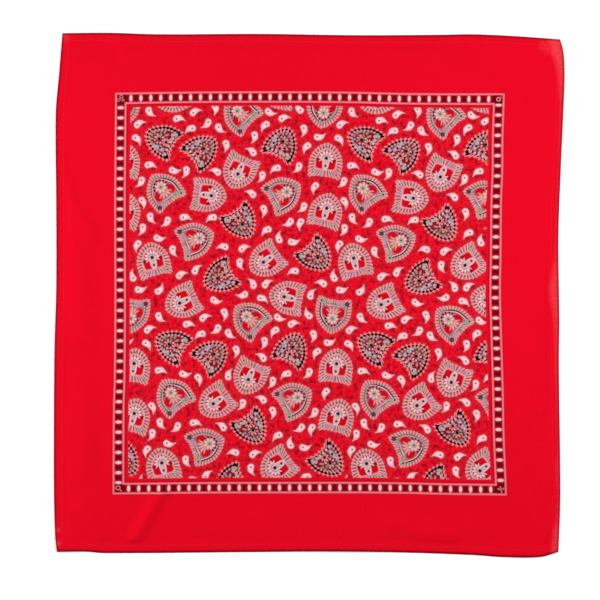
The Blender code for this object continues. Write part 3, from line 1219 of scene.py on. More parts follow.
    def flower(self, m: MotifSpace) -> None:
        """A ribbed band with double inner lines, a flower, its rays and two red windows.

        Args:
            m: the motif's layers and signals.
        """
        layers, tree, inks = m.layers, m.tree, self.inks
        ribs = m.along.wave(self.flower_pitch)
        layers.lay(tree.mask(m.depth + ribs * 0.45, 0.7), inks.line)
        layers.lay(tree.mask(m.depth - 1.2, 1.0), m.rib)
        layers.lay(tree.mask(m.depth - 3.2, 1.4), m.band)
        gaps = tree.mask(-0.2 - ribs, 0.9)
        layers.lay(tree.mask(m.depth - 1.0) * gaps * 0.7, inks.rib_gap)
        side = tree.mask(m.y + 12.0, 2.0) * (m.depth > 3.6)
        side = side * (tree.eased(m.x, -4.0, 6.0) * 0.5 + 0.45) * tree.eased(m.y, 17.0, 9.0)
        layers.lay(tree.mask(0.75 - abs(m.depth - 5.0)) * side, inks.dark)
        layers.lay(tree.mask(0.55 - abs(m.depth - 6.2)) * side, inks.warm)
        heart = (m.depth - 6.6).call("MINIMUM", m.y + 9.4)
        layers.lay(tree.mask(heart), inks.dusk)
        window = 1.0 - far((abs(m.x) - 8.6) / 3.6, (m.y + 3.2) / 4.8)
        layers.lay(tree.mask(window * 4.0, 0.8) * tree.mask(heart), inks.deep)
        flower = m.around(0.0, 4.2)
        layers.lay(m.ring(flower, 13, 7.6, (0.9, 1.2), 2.0), inks.dark)
        layers.lay(m.ring(flower, 8, 4.5, (1.45, 1.9), 4.0) * 0.85, inks.warm)
        layers.lay(tree.mask(2.7 - flower[0]), inks.green)
        layers.lay(tree.mask(1.1 - flower[0]), inks.soot)
        root = m.around(0.0, 1.0)
        rays = m.ring(root, 14, 6.6, (0.95, 3.4), 4.0) * tree.mask((root[1] - 2.2) * 5.0)
        layers.lay(rays * 0.7, inks.cream)
        m.stamp(FLOWER_DOTS)

    def draw(self, layers: Layers) -> None:
        """Draws the nearest large motif.

        Args:
            layers: what it is laid on.
        """
        tree = layers.tree
        x, y = tree.map("large")
        kind, _ = tree.map("kinds")
        kinds = ((kind > 0.5) * (kind < 1.5), kind > 1.5)
        reach = far(x, y)
        angle = abs(x).call("ARCTAN2", y) / math.pi
        rims = list(RIMS.values())
        radius = self.by_design(tree, angle, rims, self.radius_scale, kinds)
        further = self.by_design(tree, angle + self.angle_step, rims, self.radius_scale, kinds)
        steep = (further - radius) / (radius * (self.angle_step * math.pi))
        depth = (radius - reach) * (steep * steep + 1.0).call("INVERSE_SQRT")
        patchy = tree.patches(layers.p, layers.q, self.patchy)
        tinted = tree.patches(layers.p, layers.q, self.tinted)
        rib = tree.mixed(patchy, self.inks.rib, self.inks.rib_pink)
        band = tree.mixed(tinted, self.inks.grey, self.inks.lilac)
        band = tree.mixed(patchy, band, self.inks.green)
        lengths = [self.outline_length(points) for points in rims]
        along = self.by_design(tree, angle, lengths, self.length_scale, kinds)
        halo = tree.mask(depth + self.halo, self.halo_softness)
        layers.lay(halo * layers.window * self.halo_share, self.inks.dull)
        drawn = []
        for design in (self.petal, self.beaded, self.flower):
            m = MotifSpace(layers.fresh(), x, y, depth, along, rib, band)
            design(m)
            drawn.append(m.layers.colour)
        shown = tree.mixed(kinds[0], drawn[0], drawn[1])
        layers.lay(layers.window, tree.mixed(kinds[1], shown, drawn[2]))


@dataclass(frozen=True)
class SmallMotifs:
    """Drawing of the curled drops and the florets. A drop's head is at its middle."""

    inks: Inks = Inks()
    body: float = 9.4
    head: float = 3.95
    tail: float = 0.55
    bow: float = 6.2
    taper: float = 1.5
    rim: float = 0.95
    eye: float = 1.05
    floret: float = 1.6
    lobe: float = 0.7
    shade_along: float = 6.4
    shade_beside: float = 2.2
    shade_radius: float = 1.7
    claimed_bow: float = 5.2
    claimed_taper: float = 1.3
    claimed_floret: float = 2.3

    def outside(self, motif: Placed, x: Array, y: Array) -> Array:
        """How far places lie outside a drop or a floret.

        Args:
            motif: the one that they are seen from.
            x: the way towards its tail.
            y: the way across that.

        Returns:
            The distance, roughly.
        """
        if motif.kind:
            return np.hypot(x, y) - self.claimed_floret
        run = np.clip(x, 0.0, self.body)
        t = run / self.body
        swell = (self.head - self.tail) * np.cos(t * np.pi / 2.0) ** self.claimed_taper
        return np.hypot(x - run, y - t * (1.0 - t) * self.claimed_bow) - self.tail - swell

    def draw(self, layers: Layers) -> None:
        """Draws the nearest curled drop, or the nearest floret.

        Args:
            layers: what it is laid on.
        """
        tree, inks, window = layers.tree, self.inks, layers.window
        x, y = tree.map("small")
        _, kind = tree.map("kinds")
        floret = kind > 0.5
        drop = (1.0 - floret) * window
        run = x.clamped(0.0, self.body)
        t = run / self.body
        bow = t * (1.0 - t) * self.bow
        narrow = (t * (math.pi / 2.0)).call("COSINE").call("MAXIMUM", 0.0) ** self.taper
        depth = narrow * (self.head - self.tail) + self.tail - far(x - run, y - bow)
        away = ((x - self.shade_along) ** 2.0 + (y + self.shade_beside) ** 2.0).call("SQRT")
        layers.lay(tree.mask(self.shade_radius - away, 2.4) * drop * 0.75, inks.maroon)
        layers.lay(tree.mask(depth + 1.9, 3.2) * drop * 0.45, inks.dull)
        layers.lay(tree.mask(depth, 0.8) * drop, inks.pink)
        paper = tree.mixed(t, inks.white, inks.blush)
        layers.lay(tree.mask(depth - self.rim, 1.5) * drop, paper)
        reach = far(x, y)
        layers.lay(tree.mask(self.eye - reach, 0.7) * drop, inks.ash)
        lobes = (y.call("ARCTAN2", x) * 4.0).call("COSINE") * self.lobe
        layers.lay(tree.mask(self.floret + lobes - reach, 0.7) * floret * window, inks.wine)


@dataclass(frozen=True)
class PrintedFrame:
    """Drawing of the two pale lines, the squares and ovals between them, and its corners."""

    cloth: LaidCloth
    inks: Inks = Inks()
    gap: float = 10.4
    line_half: float = 0.95
    shade: float = 1.6
    shade_past: float = 2.4
    end_pitch: float = 10.72
    side_pitch: float = 10.98
    side_shift: float = -3.6
    square_out: float = 3.5
    square_along: float = 2.4
    oval_out: float = 3.4
    oval_along: float = 1.6
    block_half: float = 5.0

    def draw(self, layers: Layers) -> None:
        """Draws the frame.

        Args:
            layers: what it is laid on.
        """
        tree, inks, p, q = layers.tree, self.inks, layers.p, layers.q
        from_side = self.cloth.frame_across - abs(p)
        from_end = self.cloth.frame_along - abs(q)
        depth = from_side.call("MINIMUM", from_end)
        on_side = from_side < from_end
        outer = tree.mask(depth + self.shade, 1.6)
        shade = outer * tree.mask(self.gap + self.shade_past - depth, 1.6)
        layers.lay(shade * 0.8, inks.wine)
        layers.lay(tree.mask(depth) * tree.mask(self.gap - depth), inks.band_red)
        side_turn = (q - p.call("SIGN") * self.side_shift) / self.side_pitch
        end_turn = p / self.end_pitch
        turn = end_turn + (side_turn - end_turn) * on_side
        pitch = self.end_pitch + (self.side_pitch - self.end_pitch) * on_side
        offset = (turn - turn.rounded()) * pitch
        between = (0.5 - abs(turn - turn.rounded())) * pitch
        middle = depth - self.gap / 2.0
        square = tree.mask(self.square_out - abs(middle), 1.8)
        square = square * tree.mask(self.square_along - between, 2.4)
        layers.lay(square * tree.mask(depth), inks.square)
        along, out = offset / self.oval_along, middle / self.oval_out
        oval = 1.0 - (along**2.0 + out**2.0).call("SQRT")
        layers.lay(tree.mask(oval * self.oval_along, 1.1) * tree.mask(depth), inks.oval)
        corner_x, corner_y = from_side - self.gap / 2.0, from_end - self.gap / 2.0
        block = self.block_half - abs(corner_x)
        block = block.call("MINIMUM", self.block_half - abs(corner_y))
        layers.lay(tree.mask(block, 0.8), inks.square)
        for mark in CORNER_MARKS:
            there = (p * mark.side > 0.0) * (q * mark.end > 0.0) * tree.mask(block)
            away = far(corner_x - mark.inward, corner_y - mark.upward)
            ring = mark.half - abs(away - mark.radius)
            layers.lay(tree.mask(ring, 0.6) * there, inks.petal_pink)
        for edge in (0.0, self.gap):
            layers.lay(tree.mask(self.line_half - abs(depth - edge), 0.9), inks.frame_line)


@dataclass(frozen=True)
class PaintedEdgeLight:
    """Painted shade along the folded edges and between the hem's puckers, and painted highlight on the
    puckered hem. In millimetres.
    """

    cloth: LaidCloth
    inks: Inks = Inks()
    uneven: Patches = Patches(0.21, 0.3, 0.7, 70.0)
    highlight_reach: float = 15.0
    highlight_softness: float = 7.0
    pucker_shade_pitch: float = 4.5
    pucker_shade_inset: float = 4.4
    pucker_shade_half: float = 1.7
    # width of the painted shade along the folded edges
    fold: float = 2.6

    def draw(self, layers: Layers) -> None:
        """Paints shade along the folded edges and between the puckers, and paints a paler highlight on
        the puckered hem, most of all at the right.

        Args:
            layers: what it is laid on.
        """
        tree, inks, p, q = layers.tree, self.inks, layers.p, layers.q
        half_width, half_length = self.cloth.width / 2.0, self.cloth.length / 2.0
        from_right, from_end = half_width - p, half_length - abs(q)
        from_edge = (half_width - abs(p)).call("MINIMUM", from_end)
        uneven = tree.patches(p, q, self.uneven)
        share = (q / self.cloth.length + 0.5).clamped()
        reach = tree.curve(share, PAINTED_HIGHLIGHT_REACH) * self.highlight_reach
        # painted highlight: the puckered hem made paler, most of all along the right edge
        pale = tree.mask(reach - from_right, self.highlight_softness) * (uneven * 0.35 + 0.6)
        layers.lay(pale, inks.highlight_red)
        # painted shade: dark marks between the hem's puckers
        wave = (q * (2.0 * math.pi / self.pucker_shade_pitch) + uneven * 3.0).call("COSINE")
        pucker_shade = tree.mask(self.pucker_shade_half - abs(from_right - self.pucker_shade_inset), 1.6)
        pucker_shade = tree.mask(wave - 0.45, 0.8) * pucker_shade
        layers.lay(pucker_shade * tree.mask(reach - 6.0, 3.0) * uneven * 0.5, inks.maroon)
        # painted highlights near the corners
        for spot in PAINTED_HIGHLIGHT_SPOTS:
            away = far(p - spot.x, q - spot.y)
            patchy = tree.mask(spot.radius - away, spot.radius) * (uneven * 0.8 + 0.2)
            layers.lay(patchy * spot.strength, inks.highlight_red)
        # painted shade along the folded edges, stronger along the bottom edge
        fold_shade_strength = (q < 0.0) * (from_end < 4.0) * 0.2 + 0.6
        layers.lay(tree.mask(self.fold - from_edge, 1.7) * fold_shade_strength, inks.edge)


@dataclass(frozen=True)
class PrintedCotton:
    """Plain-woven red cotton with a printed face."""

    cloth: LaidCloth
    name: str = "printed_cotton_face"
    show: float = 1.0
    wrong_side: tuple = ink(226, 44, 62)
    inks: Inks = Inks()
    thread_pitch: float = 0.42
    window_across: float = 15.8
    window_along: float = 15.4
    window_raised: float = 0.6
    vivid: Patches = Patches(0.15, 0.42, 0.6, 20.0)
    cloud: Patches = Patches(0.19, 0.4, 0.72, 9.0)
    mottle: Patches = Patches(0.33, 0.42, 0.78, 50.0)
    value: float = 0.705
    roughness: float = 0.88
    specular: float = 0.03
    sheen: float = 0.01

    def weave(self, p: Signal, q: Signal) -> Signal:
        """Height of a plain weave, from 0 to 1."""
        warp, weft = p.sine(2.0 * self.thread_pitch), q.sine(2.0 * self.thread_pitch)
        over = (warp * weft) > 0.0
        up, across = warp * warp, weft * weft
        return up + (across - up) * over

    def draw(self, layers: Layers) -> None:
        """Lays the whole print.

        Args:
            layers: what it is laid on.
        """
        tree, p, q = layers.tree, layers.p, layers.q
        across = self.cloth.frame_across - self.window_across - abs(p)
        along = self.cloth.frame_along - self.window_along - abs(q - self.window_raised)
        layers.window = tree.mask(across.call("MINIMUM", along))
        layers.lay(tree.patches(p, q, self.vivid) * layers.window * 0.9, self.inks.vivid)
        layers.lay(tree.patches(p, q, self.cloud) * layers.window * 0.66, self.inks.maroon)
        layers.lay(tree.patches(p, q, self.mottle) * layers.window * 0.7, self.inks.rosy)
        drawings = (SmallMotifs(), LargeMotifs(), PrintedFrame(self.cloth), PaintedEdgeLight(self.cloth))
        for drawing in drawings:
            drawing.draw(layers)

    def make(self) -> bpy.types.Material:
        """Builds the material.

        Returns:
            The material, which shows the print faintly where it is the back's.
        """
        tree = ShaderTree(self.name)
        layers = Layers(tree, self.inks.ground)
        self.draw(layers)
        p, q, colour = layers.p, layers.q, layers.colour
        if self.show < 1.0:
            colour = tree.mixed(self.show, self.wrong_side, colour)
        slubs = tree.slubs(p, q, 0.045, 40.0)
        colour = tree.lit(colour, self.value + slubs * 0.10)
        tree.surface(colour, self.roughness, self.specular)
        tree.shader.inputs["Sheen Weight"].default_value = self.sheen
        tree.bump(self.weave(p, q) * 0.05 + slubs * 0.06, 0.5)
        return tree.material


@dataclass(frozen=True)
class TurnedCotton:
    """The cloth's unprinted wrong side, as it shows on the turned hems."""

    name: str = "turned_cotton_weave"
    colour: tuple = ink(226, 40, 58)
    thread_pitch: float = 0.42
    value: float = 0.82
    roughness: float = 0.9
    specular: float = 0.12

    def make(self) -> bpy.types.Material:
        """Builds the material.

        Returns:
            The material.
        """
        tree = ShaderTree(self.name)
        x, y = tree.place(2)
        slubs = tree.slubs(x, y, 0.05)
        tree.surface(tree.lit(self.colour, self.value + slubs * 0.13), self.roughness, self.specular)
        warp, weft = x.sine(2.0 * self.thread_pitch), y.sine(2.0 * self.thread_pitch)
        tree.bump((warp * warp + weft * weft + slubs) * 0.05, 0.5)
        return tree.material


@dataclass(frozen=True)
class SewingThread:
    """Twisted red polyester thread."""

    name: str = "red_sewing_thread"
    colour: tuple = ink(222, 8, 30)
    shadow: tuple = ink(150, 2, 18)
    twist_pitch: float = 0.38
    roughness: float = 0.55
    specular: float = 0.5

    def make(self) -> bpy.types.Material:
        """Builds the material.

        Returns:
            The material.
        """
        tree = ShaderTree(self.name)
        x, y, z = tree.place(3)
        share = (x + y + z * 2.0).sine(self.twist_pitch) * 0.5 + 0.5
        colour = tree.mixed(share, self.shadow, self.colour)
        tree.surface(colour, self.roughness, self.specular)
        tree.bump(share * 0.04, 0.6)
        return tree.material


@dataclass(frozen=True)
class PaleFloor:
    """A plain matt near-white surface."""

    name: str = "pale_floor"
    colour: tuple = (0.97, 0.97, 0.97)
    roughness: float = 0.9
    specular: float = 0.1

    def make(self) -> bpy.types.Material:
        """Builds the material and returns it."""
        tree = ShaderTree(self.name)
        tree.surface(self.colour, self.roughness, self.specular)
        return tree.material


# ---------------------------------------------------------------- pieces

Outside = Callable[[Placed, Array, Array], Array]


def in_scene(name: str, data: bpy.types.ID) -> bpy.types.Object:
    """Adds an object that shows its data to the scene."""
    obj = bpy.data.objects.new(name, data)
    bpy.context.scene.collection.objects.link(obj)
    return obj


def mesh_object(name: str, points: Array, faces: list, material: Material) -> bpy.types.Object:
    """Adds a mesh object at the origin, shaded smooth.

    Args:
        name: its name, and its mesh's.
        points: its points, in metres.
        faces: numbers of the points of each face.
        material: its finish.

    Returns:
        The object.
    """
    mesh = bpy.data.meshes.new(name)
    mesh.from_pydata(points.tolist(), [], faces)
    mesh.update()
    mesh.shade_smooth()
    mesh.materials.append(material)
    return in_scene(name, mesh)


def set_map(obj: bpy.types.Object, name: str, places: Array) -> None:
    """Gives a mesh a map, from one pair of numbers for each corner of each face."""
    layer = obj.data.uv_layers.new(name=name, do_init=False)
    layer.data.foreach_set("uv", places.astype(np.float32).ravel())


def large_outside(motif: Placed, x: Array, y: Array) -> Array:
    """How far places seen from a large motif lie outside its outline, along the way out."""
    degrees, radii = np.array(RIMS[Design(motif.kind)], dtype=float).T
    return np.hypot(x, y) - np.interp(np.degrees(np.arctan2(np.abs(x), y)), degrees, radii)


@dataclass(frozen=True)
class Shell:
    """The square's mesh as numbers: flat places and points, faces, and how many show the print."""

    p: Array
    q: Array
    points: Array
    faces: Array
    printed: int


@dataclass
class PrintedSquare:
    """The hemmed square: a thin shell whose printed face turns down round each edge."""

    cloth: LaidCloth
    chart: PrintChart
    cell: float = 2.8
    edge_stations: tuple[float, ...] = (
        0.0, 0.12, 0.45, 0.9, 1.3, 2.4, 4.4, 6.4, 7.4, 8.2, 9.0, 10.4, 12.0, 13.6,
    )
    least_back: float = 0.02
    back_show: float = 0.28
    bake_split: float = 0.86
    bake_margin: float = 0.004

    def stations(self, length: float) -> Array:
        """Places of the mesh's lines across or along, closer together at the hems.

        Args:
            length: the cloth's whole way.

        Returns:
            The places, from one edge to the other.
        """
        inner = length - 2.0 * self.cloth.ramp_end
        cells = round(inner / self.cell)
        middle = self.cloth.ramp_end + inner * np.arange(cells + 1) / cells
        edge = np.array(self.edge_stations)
        return np.concatenate((edge, middle, length - edge[::-1])) - length / 2.0

    def shell(self) -> Shell:
        """Works out the face, the back under it, and the thin rim that joins them.

        Returns:
            The mesh's numbers, the printed faces first and the back's after them.
        """
        p, q = np.meshgrid(self.stations(self.cloth.width), self.stations(self.cloth.length))
        face = self.cloth.points(p, q, self.cloth.top(p, q))
        normal = np.cross(np.gradient(face, axis=1), np.gradient(face, axis=0))
        normal /= np.linalg.norm(normal, axis=-1, keepdims=True)
        back = face - normal * self.cloth.thickness
        back[..., 2] = np.maximum(back[..., 2], self.least_back)
        points = np.concatenate((face.reshape(-1, 3), back.reshape(-1, 3))) * MM
        number = np.arange(p.size).reshape(p.shape)
        corners = (number[:-1, :-1], number[:-1, 1:], number[1:, 1:], number[1:, :-1])
        quads = np.stack(corners, axis=-1).reshape(-1, 4)
        sides = (number[0, :], number[1:, -1], number[-1, -2::-1], number[-2:0:-1, 0])
        border = np.concatenate(sides)
        following = np.roll(border, -1)
        rim_quads = np.stack((border, border + p.size, following + p.size, following), axis=-1)
        faces = np.concatenate((quads, quads[:, ::-1] + p.size, rim_quads))
        return Shell(np.tile(p.ravel(), 2), np.tile(q.ravel(), 2), points, faces, len(quads))

    def nearest(self, motifs: list[Placed], p: Array, q: Array, outside: Outside) -> Array:
        """Finds the motif that each face belongs to: the one whose outline is nearest.

        Args:
            motifs: the motifs to choose from.
            p: the faces' middles, across.
            q: the faces' middles, along.
            outside: how far places lie outside a motif.

        Returns:
            The motif's number, for each face.
        """
        best = np.full(p.shape, np.inf)
        chosen = np.zeros(p.shape, dtype=int)
        for number, motif in enumerate(motifs):
            away = outside(motif, *motif.local(p, q))
            closer = away < best
            best[closer] = away[closer]
            chosen[closer] = number
        return chosen

    def motif_map(self, motifs: list[Placed], p: Array, q: Array, outside: Outside) -> tuple:
        """Places of the faces' corners, each seen from its face's own motif.

        Args:
            motifs: the motifs to choose from.
            p: the corners of each face, across.
            q: the corners of each face, along.
            outside: how far places lie outside a motif.

        Returns:
            The places, and what kind each face's motif is.
        """
        chosen = self.nearest(motifs, p.mean(axis=1), q.mean(axis=1), outside)
        rows = np.array([(m.p, m.q, m.turn, m.flip, m.kind) for m in motifs])[chosen]
        own_p, own_q, turn, flip, kind = rows.T[..., None]
        return np.stack(turned(p - own_p, q - own_q, turn, flip), axis=-1), kind[:, 0]

    def bake_map(self, p: Array, q: Array, top_count: int) -> Array:
        """Lays the printed face over most of the unit square, and the back in a strip.

        Args:
            p: the corners of each face, across.
            q: the corners of each face, along.
            top_count: how many of the faces show the print.

        Returns:
            The places, one for each corner.
        """
        across = p / self.cloth.width + 0.5
        along = q / self.cloth.length + 0.5
        low, high = self.bake_margin, self.bake_split
        u = self.bake_margin + across * (1.0 - 2.0 * self.bake_margin)
        v = low + along * (high - low)
        backs = slice(top_count, 2 * top_count)
        strip = 1.0 - self.bake_margin - high - self.bake_margin
        v[backs] = high + self.bake_margin + along[backs] * strip
        return np.stack((u, v), axis=-1)

    def build(self) -> bpy.types.Object:
        """Builds the shell, its maps and its two finishes.

        Returns:
            The piece.
        """
        shell = self.shell()
        face = PrintedCotton(self.cloth).make()
        back = PrintedCotton(self.cloth, "printed_cotton_back", self.back_show).make()
        obj = mesh_object("printed_square", shell.points, shell.faces.tolist(), face)
        obj.data.materials.append(back)
        backs = np.zeros(len(shell.faces), dtype=np.int32)
        backs[shell.printed : 2 * shell.printed] = 1
        obj.data.polygons.foreach_set("material_index", backs)

        p, q = shell.p[shell.faces], shell.q[shell.faces]
        large, small = self.chart.large(), self.chart.small()
        from_large, large_kind = self.motif_map(large, p, q, large_outside)
        from_small, small_kind = self.motif_map(small, p, q, SmallMotifs().outside)
        kinds = np.stack((large_kind, small_kind), axis=-1)
        set_map(obj, "flat", np.stack((p, q), axis=-1))
        set_map(obj, "large", from_large)
        set_map(obj, "small", from_small)
        set_map(obj, "kinds", np.repeat(kinds, 4, axis=0))
        set_map(obj, "OFBake", self.bake_map(p, q, shell.printed))
        LOG.info("chart: %d large and %d small motifs", len(large), len(small))
        return obj


class Side(Enum):
    """The four hems."""

    TOP = "top"
    BOTTOM = "bottom"
    LEFT = "left"
    RIGHT = "right"


class HemPoint(NamedTuple):
    """A point of a hem's section: from which border, and how far out and up, in half heights."""

    inner: bool
    out: float
    up: float


HEM_SECTION = (
    HemPoint(False, -1.0, 0.0), HemPoint(False, -0.7, 0.7), HemPoint(False, 0.0, 1.0),
    HemPoint(True, 0.0, 1.0), HemPoint(True, 0.7, 0.7), HemPoint(True, 1.0, 0.0),
    HemPoint(True, 0.7, -0.7), HemPoint(True, 0.0, -1.0), HemPoint(False, 0.0, -1.0),
    HemPoint(False, -0.7, -0.7),
)
HEM_SWAY = Sway(1.5, 47.0)


@dataclass
class TurnedHem:
    """A hem's doubled strip behind the square, with a round fold along both borders."""

    cloth: LaidCloth
    side: Side
    outer: float = 1.95
    under: float = 0.2
    upper: float = 0.86
    corner_gap: float = 0.35
    step: float = 2.8
    wobble: float = 0.25
    wobble_length: float = 13.0

    def build(self, material: Material) -> bpy.types.Object:
        """Builds the strip.

        Args:
            material: the wrong side's finish.

        Returns:
            The piece.
        """
        cloth = self.cloth
        level = self.side in (Side.TOP, Side.BOTTOM)
        sign = 1.0 if self.side in (Side.TOP, Side.RIGHT) else -1.0
        length = cloth.width if level else cloth.length
        start = self.outer if level else cloth.hem_width + self.corner_gap
        count = round((length - 2.0 * start) / self.step)
        way = np.linspace(start - length / 2.0, length / 2.0 - start, count + 1)
        half = (self.upper - self.under) / 2.0
        borders = (self.outer + half, cloth.hem_width - half)
        insets = [borders[point.inner] + half * point.out for point in HEM_SECTION]
        heights = [self.under + half + half * point.up for point in HEM_SECTION]
        along, inset = np.meshgrid(way, insets, indexing="ij")
        inner = (inset - self.outer) / (cloth.hem_width - self.outer)
        wobble = self.wobble * np.sin(along / self.wobble_length + HEM_SWAY.at(along))
        inset = inset + inner * wobble
        away = sign * ((cloth.length if level else cloth.width) / 2.0 - inset)
        p, q = (along, away) if level else (away, along)
        points = cloth.points(p, q, np.array(heights) + cloth.lift(p, q)).reshape(-1, 3) * MM
        number = np.arange(len(points)).reshape(-1, len(HEM_SECTION))
        turned_on = np.roll(number, -1, axis=1)
        quads = np.stack((number[:-1], number[1:], turned_on[1:], turned_on[:-1]), axis=-1)
        faces = quads.reshape(-1, 4).tolist() + [number[0].tolist(), number[-1].tolist()[::-1]]
        if level == (sign > 0):
            faces = [face[::-1] for face in faces]
        return mesh_object("turned_hem_" + self.side.value, points, faces, material)


class Row(Enum):
    """The two rows of a lockstitch, by the names of their pieces."""

    OVER = "stitches_over"
    UNDER = "stitches_under"


# Nodes of the stitches: a short name, the node's type and its own properties.
STITCH_NODES = (
    ("given", "NodeGroupInput", {}),
    ("result", "NodeGroupOutput", {}),
    ("curve", "GeometryNodeMeshToCurve", {}),
    ("spaced", "GeometryNodeResampleCurve", {"mode": "LENGTH"}),
    ("tangent", "GeometryNodeInputTangent", {}),
    ("align", "FunctionNodeAlignRotationToVector", {"axis": "X"}),
    ("bead", "GeometryNodeMeshUVSphere", {}),
    ("size", "ShaderNodeCombineXYZ", {}),
    ("uneven", "FunctionNodeRandomValue", {"data_type": "FLOAT"}),
    ("scale", "ShaderNodeVectorMath", {"operation": "SCALE"}),
    ("place", "GeometryNodeInstanceOnPoints", {}),
    ("real", "GeometryNodeRealizeInstances", {}),
    ("finish", "GeometryNodeSetMaterial", {}),
)
# Links between them: from which node and output, to which node and input.
STITCH_LINKS = (
    ("given", "Geometry", "curve", "Mesh"),
    ("curve", "Curve", "spaced", "Curve"),
    ("given", "Pitch", "spaced", "Length"),
    ("tangent", "Tangent", "align", "Vector"),
    ("given", "Stitch Length", "size", "X"),
    ("given", "Thread", "size", "Y"),
    ("given", "Thread", "size", "Z"),
    ("given", "Seed", "uneven", "Seed"),
    ("size", 0, "scale", 0),
    ("uneven", 1, "scale", "Scale"),
    ("spaced", "Curve", "place", "Points"),
    ("bead", "Mesh", "place", "Instance"),
    ("align", "Rotation", "place", "Rotation"),
    ("scale", 0, "place", "Scale"),
    ("place", "Instances", "real", "Geometry"),
    ("real", "Geometry", "finish", "Geometry"),
    ("finish", "Geometry", "result", "Geometry"),
)


@dataclass
class HemStitching:
    """Lockstitch round the square: one row on the printed face, one on the hems' backs."""

    cloth: LaidCloth
    pitch: float = 2.7
    length: float = 2.0
    thread: float = 0.32
    thinnest: float = 0.9
    thickest: float = 1.1
    bead_segments: int = 7
    bead_rings: int = 5
    path_step: float = 2.0
    over: float = 0.04
    under: float = 0.21
    seed: int = 7

    def path(self, row: Row) -> Array:
        """Works out the stitch line round the cloth.

        Args:
            row: which of the two rows.

        Returns:
            Its points, in metres.
        """
        cloth = self.cloth
        half_p = cloth.width / 2.0 - cloth.stitch_inset
        half_q = cloth.length / 2.0 - cloth.stitch_inset
        across = np.arange(-half_p, half_p, self.path_step)
        along = np.arange(-half_q, half_q, self.path_step)
        on_side, on_end = np.full_like(along, half_p), np.full_like(across, half_q)
        p = np.concatenate((across, on_side, -across, -on_side))
        q = np.concatenate((-on_end, along, on_end, -along))
        if row is Row.OVER:
            return cloth.points(p, q, cloth.top(p, q) + self.over) * MM
        return cloth.points(p, q, cloth.lift(p, q) + self.under) * MM

    def tree(self, material: Material) -> bpy.types.NodeTree:
        """Geometry nodes that lay a stitch at every step of a path.

        Args:
            material: the thread's finish.

        Returns:
            The node group.
        """
        group = bpy.data.node_groups.new("stitches", "GeometryNodeTree")
        sockets = {"Geometry": "Geometry", "Pitch": "Float", "Stitch Length": "Float"}
        sockets.update({"Thread": "Float", "Seed": "Int"})
        for name, kind in sockets.items():
            group.interface.new_socket(name, in_out="INPUT", socket_type="NodeSocket" + kind)
        group.interface.new_socket("Geometry", in_out="OUTPUT", socket_type="NodeSocketGeometry")
        nodes = {}
        for name, kind, settings in STITCH_NODES:
            nodes[name] = group.nodes.new(kind)
            for key, value in settings.items():
                setattr(nodes[name], key, value)
        bead, uneven = nodes["bead"].inputs, nodes["uneven"].inputs
        bead["Segments"].default_value = self.bead_segments
        bead["Rings"].default_value = self.bead_rings
        bead["Radius"].default_value = 0.5
        uneven[2].default_value = self.thinnest
        uneven[3].default_value = self.thickest
        nodes["finish"].inputs["Material"].default_value = material
        for source, output, target, taken in STITCH_LINKS:
            group.links.new(nodes[source].outputs[output], nodes[target].inputs[taken])
        return group

    def row(self, row: Row, group: bpy.types.NodeTree) -> bpy.types.Object:
        """Lays one row along its path.

        Args:
            row: which of the two rows.
            group: the geometry nodes that lay it.

        Returns:
            The piece, as a plain mesh.
        """
        points = self.path(row)
        mesh = bpy.data.meshes.new(row.value + "_path")
        edges = [(i, (i + 1) % len(points)) for i in range(len(points))]
        mesh.from_pydata(points.tolist(), edges, [])
        guide = in_scene(mesh.name, mesh)
        modifier = guide.modifiers.new("stitches", "NODES")
        modifier.node_group = group
        values = {
            "Pitch": self.pitch * MM,
            "Stitch Length": self.length * MM,
            "Thread": self.thread * MM,
            "Seed": self.seed,
        }
        for item in group.interface.items_tree:
            if item.in_out == "INPUT" and item.name in values:
                modifier[item.identifier] = values[item.name]
        shown = guide.evaluated_get(bpy.context.evaluated_depsgraph_get())
        made = bpy.data.meshes.new_from_object(shown)
        made.name = row.value
        made.shade_smooth()
        bpy.data.objects.remove(guide)
        return in_scene(row.value, made)

    def build(self, material: Material) -> list[bpy.types.Object]:
        """Builds both rows in a finish, and returns the two pieces."""
        group = self.tree(material)
        return [self.row(row, group) for row in Row]


# ---------------------------------------------------------------- studio


class SoftLight(NamedTuple):
    """A soft square light that looks at the cloth's middle: metres and watts."""

    name: str
    place: tuple[float, float, float]
    size: float
    power: float


LIGHTS = (
    SoftLight("left light", (-1.0, 0.12, 0.55), 0.7, 10.0),
    SoftLight("right light", (0.6, 0.17, 0.8), 0.6, 6.8),
)


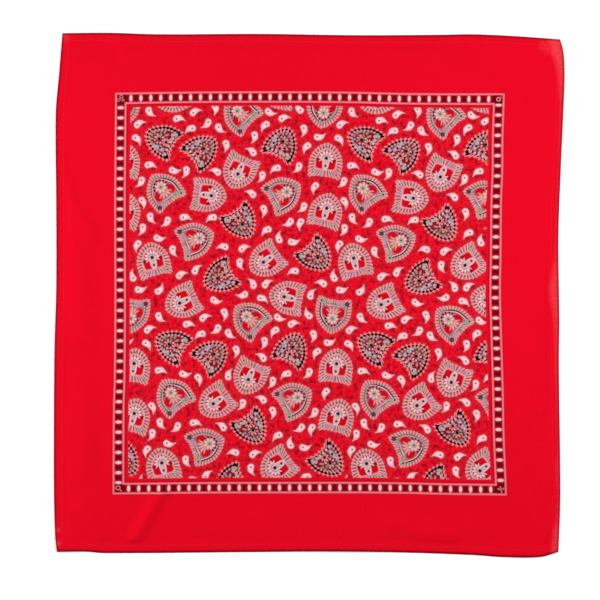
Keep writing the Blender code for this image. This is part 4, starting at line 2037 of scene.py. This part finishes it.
@dataclass(frozen=True)
class Studio:
    """Floor, soft light and a camera straight above the cloth."""

    view_across: float = 0.6486
    aim_x: float = -0.0099
    aim_y: float = -0.0052
    camera_height: float = 2.4
    sensor: float = 36.0
    floor_half: float = 3.0
    ambient: float = 0.54
    ambient_colour: tuple = (1.0, 1.0, 1.0, 1.0)

    def floor(self) -> bpy.types.Object:
        """The surface that the cloth lies on."""
        square = np.array([(-1, -1, 0), (1, -1, 0), (1, 1, 0), (-1, 1, 0)])
        return mesh_object("floor", square * self.floor_half, [[0, 1, 2, 3]], PaleFloor().make())

    def light(self, light: SoftLight) -> None:
        """Sets up one light.

        Args:
            light: its place, size and power.
        """
        data = bpy.data.lights.new(light.name, "AREA")
        data.size = light.size
        data.energy = light.power
        obj = in_scene(light.name, data)
        obj.location = light.place
        obj.rotation_euler = (-Vector(light.place)).to_track_quat("-Z", "Y").to_euler()

    def camera(self) -> None:
        """A long lens straight above, with the cloth's top edge up."""
        data = bpy.data.cameras.new("camera")
        data.type = "PERSP"
        data.sensor_width = self.sensor
        data.lens = self.sensor * self.camera_height / self.view_across
        obj = in_scene("camera", data)
        obj.location = (self.aim_x, self.aim_y, self.camera_height)
        bpy.context.scene.camera = obj

    def build(self) -> bpy.types.Object:
        """Sets everything up and returns the floor."""
        world = bpy.data.worlds.new("soft_white")
        world.use_nodes = True
        colour, strength = world.node_tree.nodes["Background"].inputs[:2]
        colour.default_value = self.ambient_colour
        strength.default_value = self.ambient
        bpy.context.scene.world = world
        bpy.context.scene.view_settings.view_transform = "Standard"
        for light in LIGHTS:
            self.light(light)
        self.camera()
        return self.floor()


def main() -> None:
    """Builds the pieces in order around the frame, and reports each."""
    logging.basicConfig(level=logging.INFO, format="%(name)s: %(message)s")
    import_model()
    cloth = LaidCloth()

    square = PrintedSquare(cloth, PrintChart(cloth)).build()
    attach(square, "root")
    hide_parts("panel")

    turned_cotton = TurnedCotton().make()
    trims = []
    for side in Side:
        hem = TurnedHem(cloth, side).build(turned_cotton)
        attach(hem, "root")
        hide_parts("hem_" + side.value)
        trims.append(hem)

    for row in HemStitching(cloth).build(SewingThread().make()):
        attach(row, "root")
        trims.append(row)

    for piece in (square, *trims):
        LOG.info("%s: %d faces", piece.name, len(piece.data.polygons))

    floor = Studio().build()


if __name__ == "__main__":
    main()
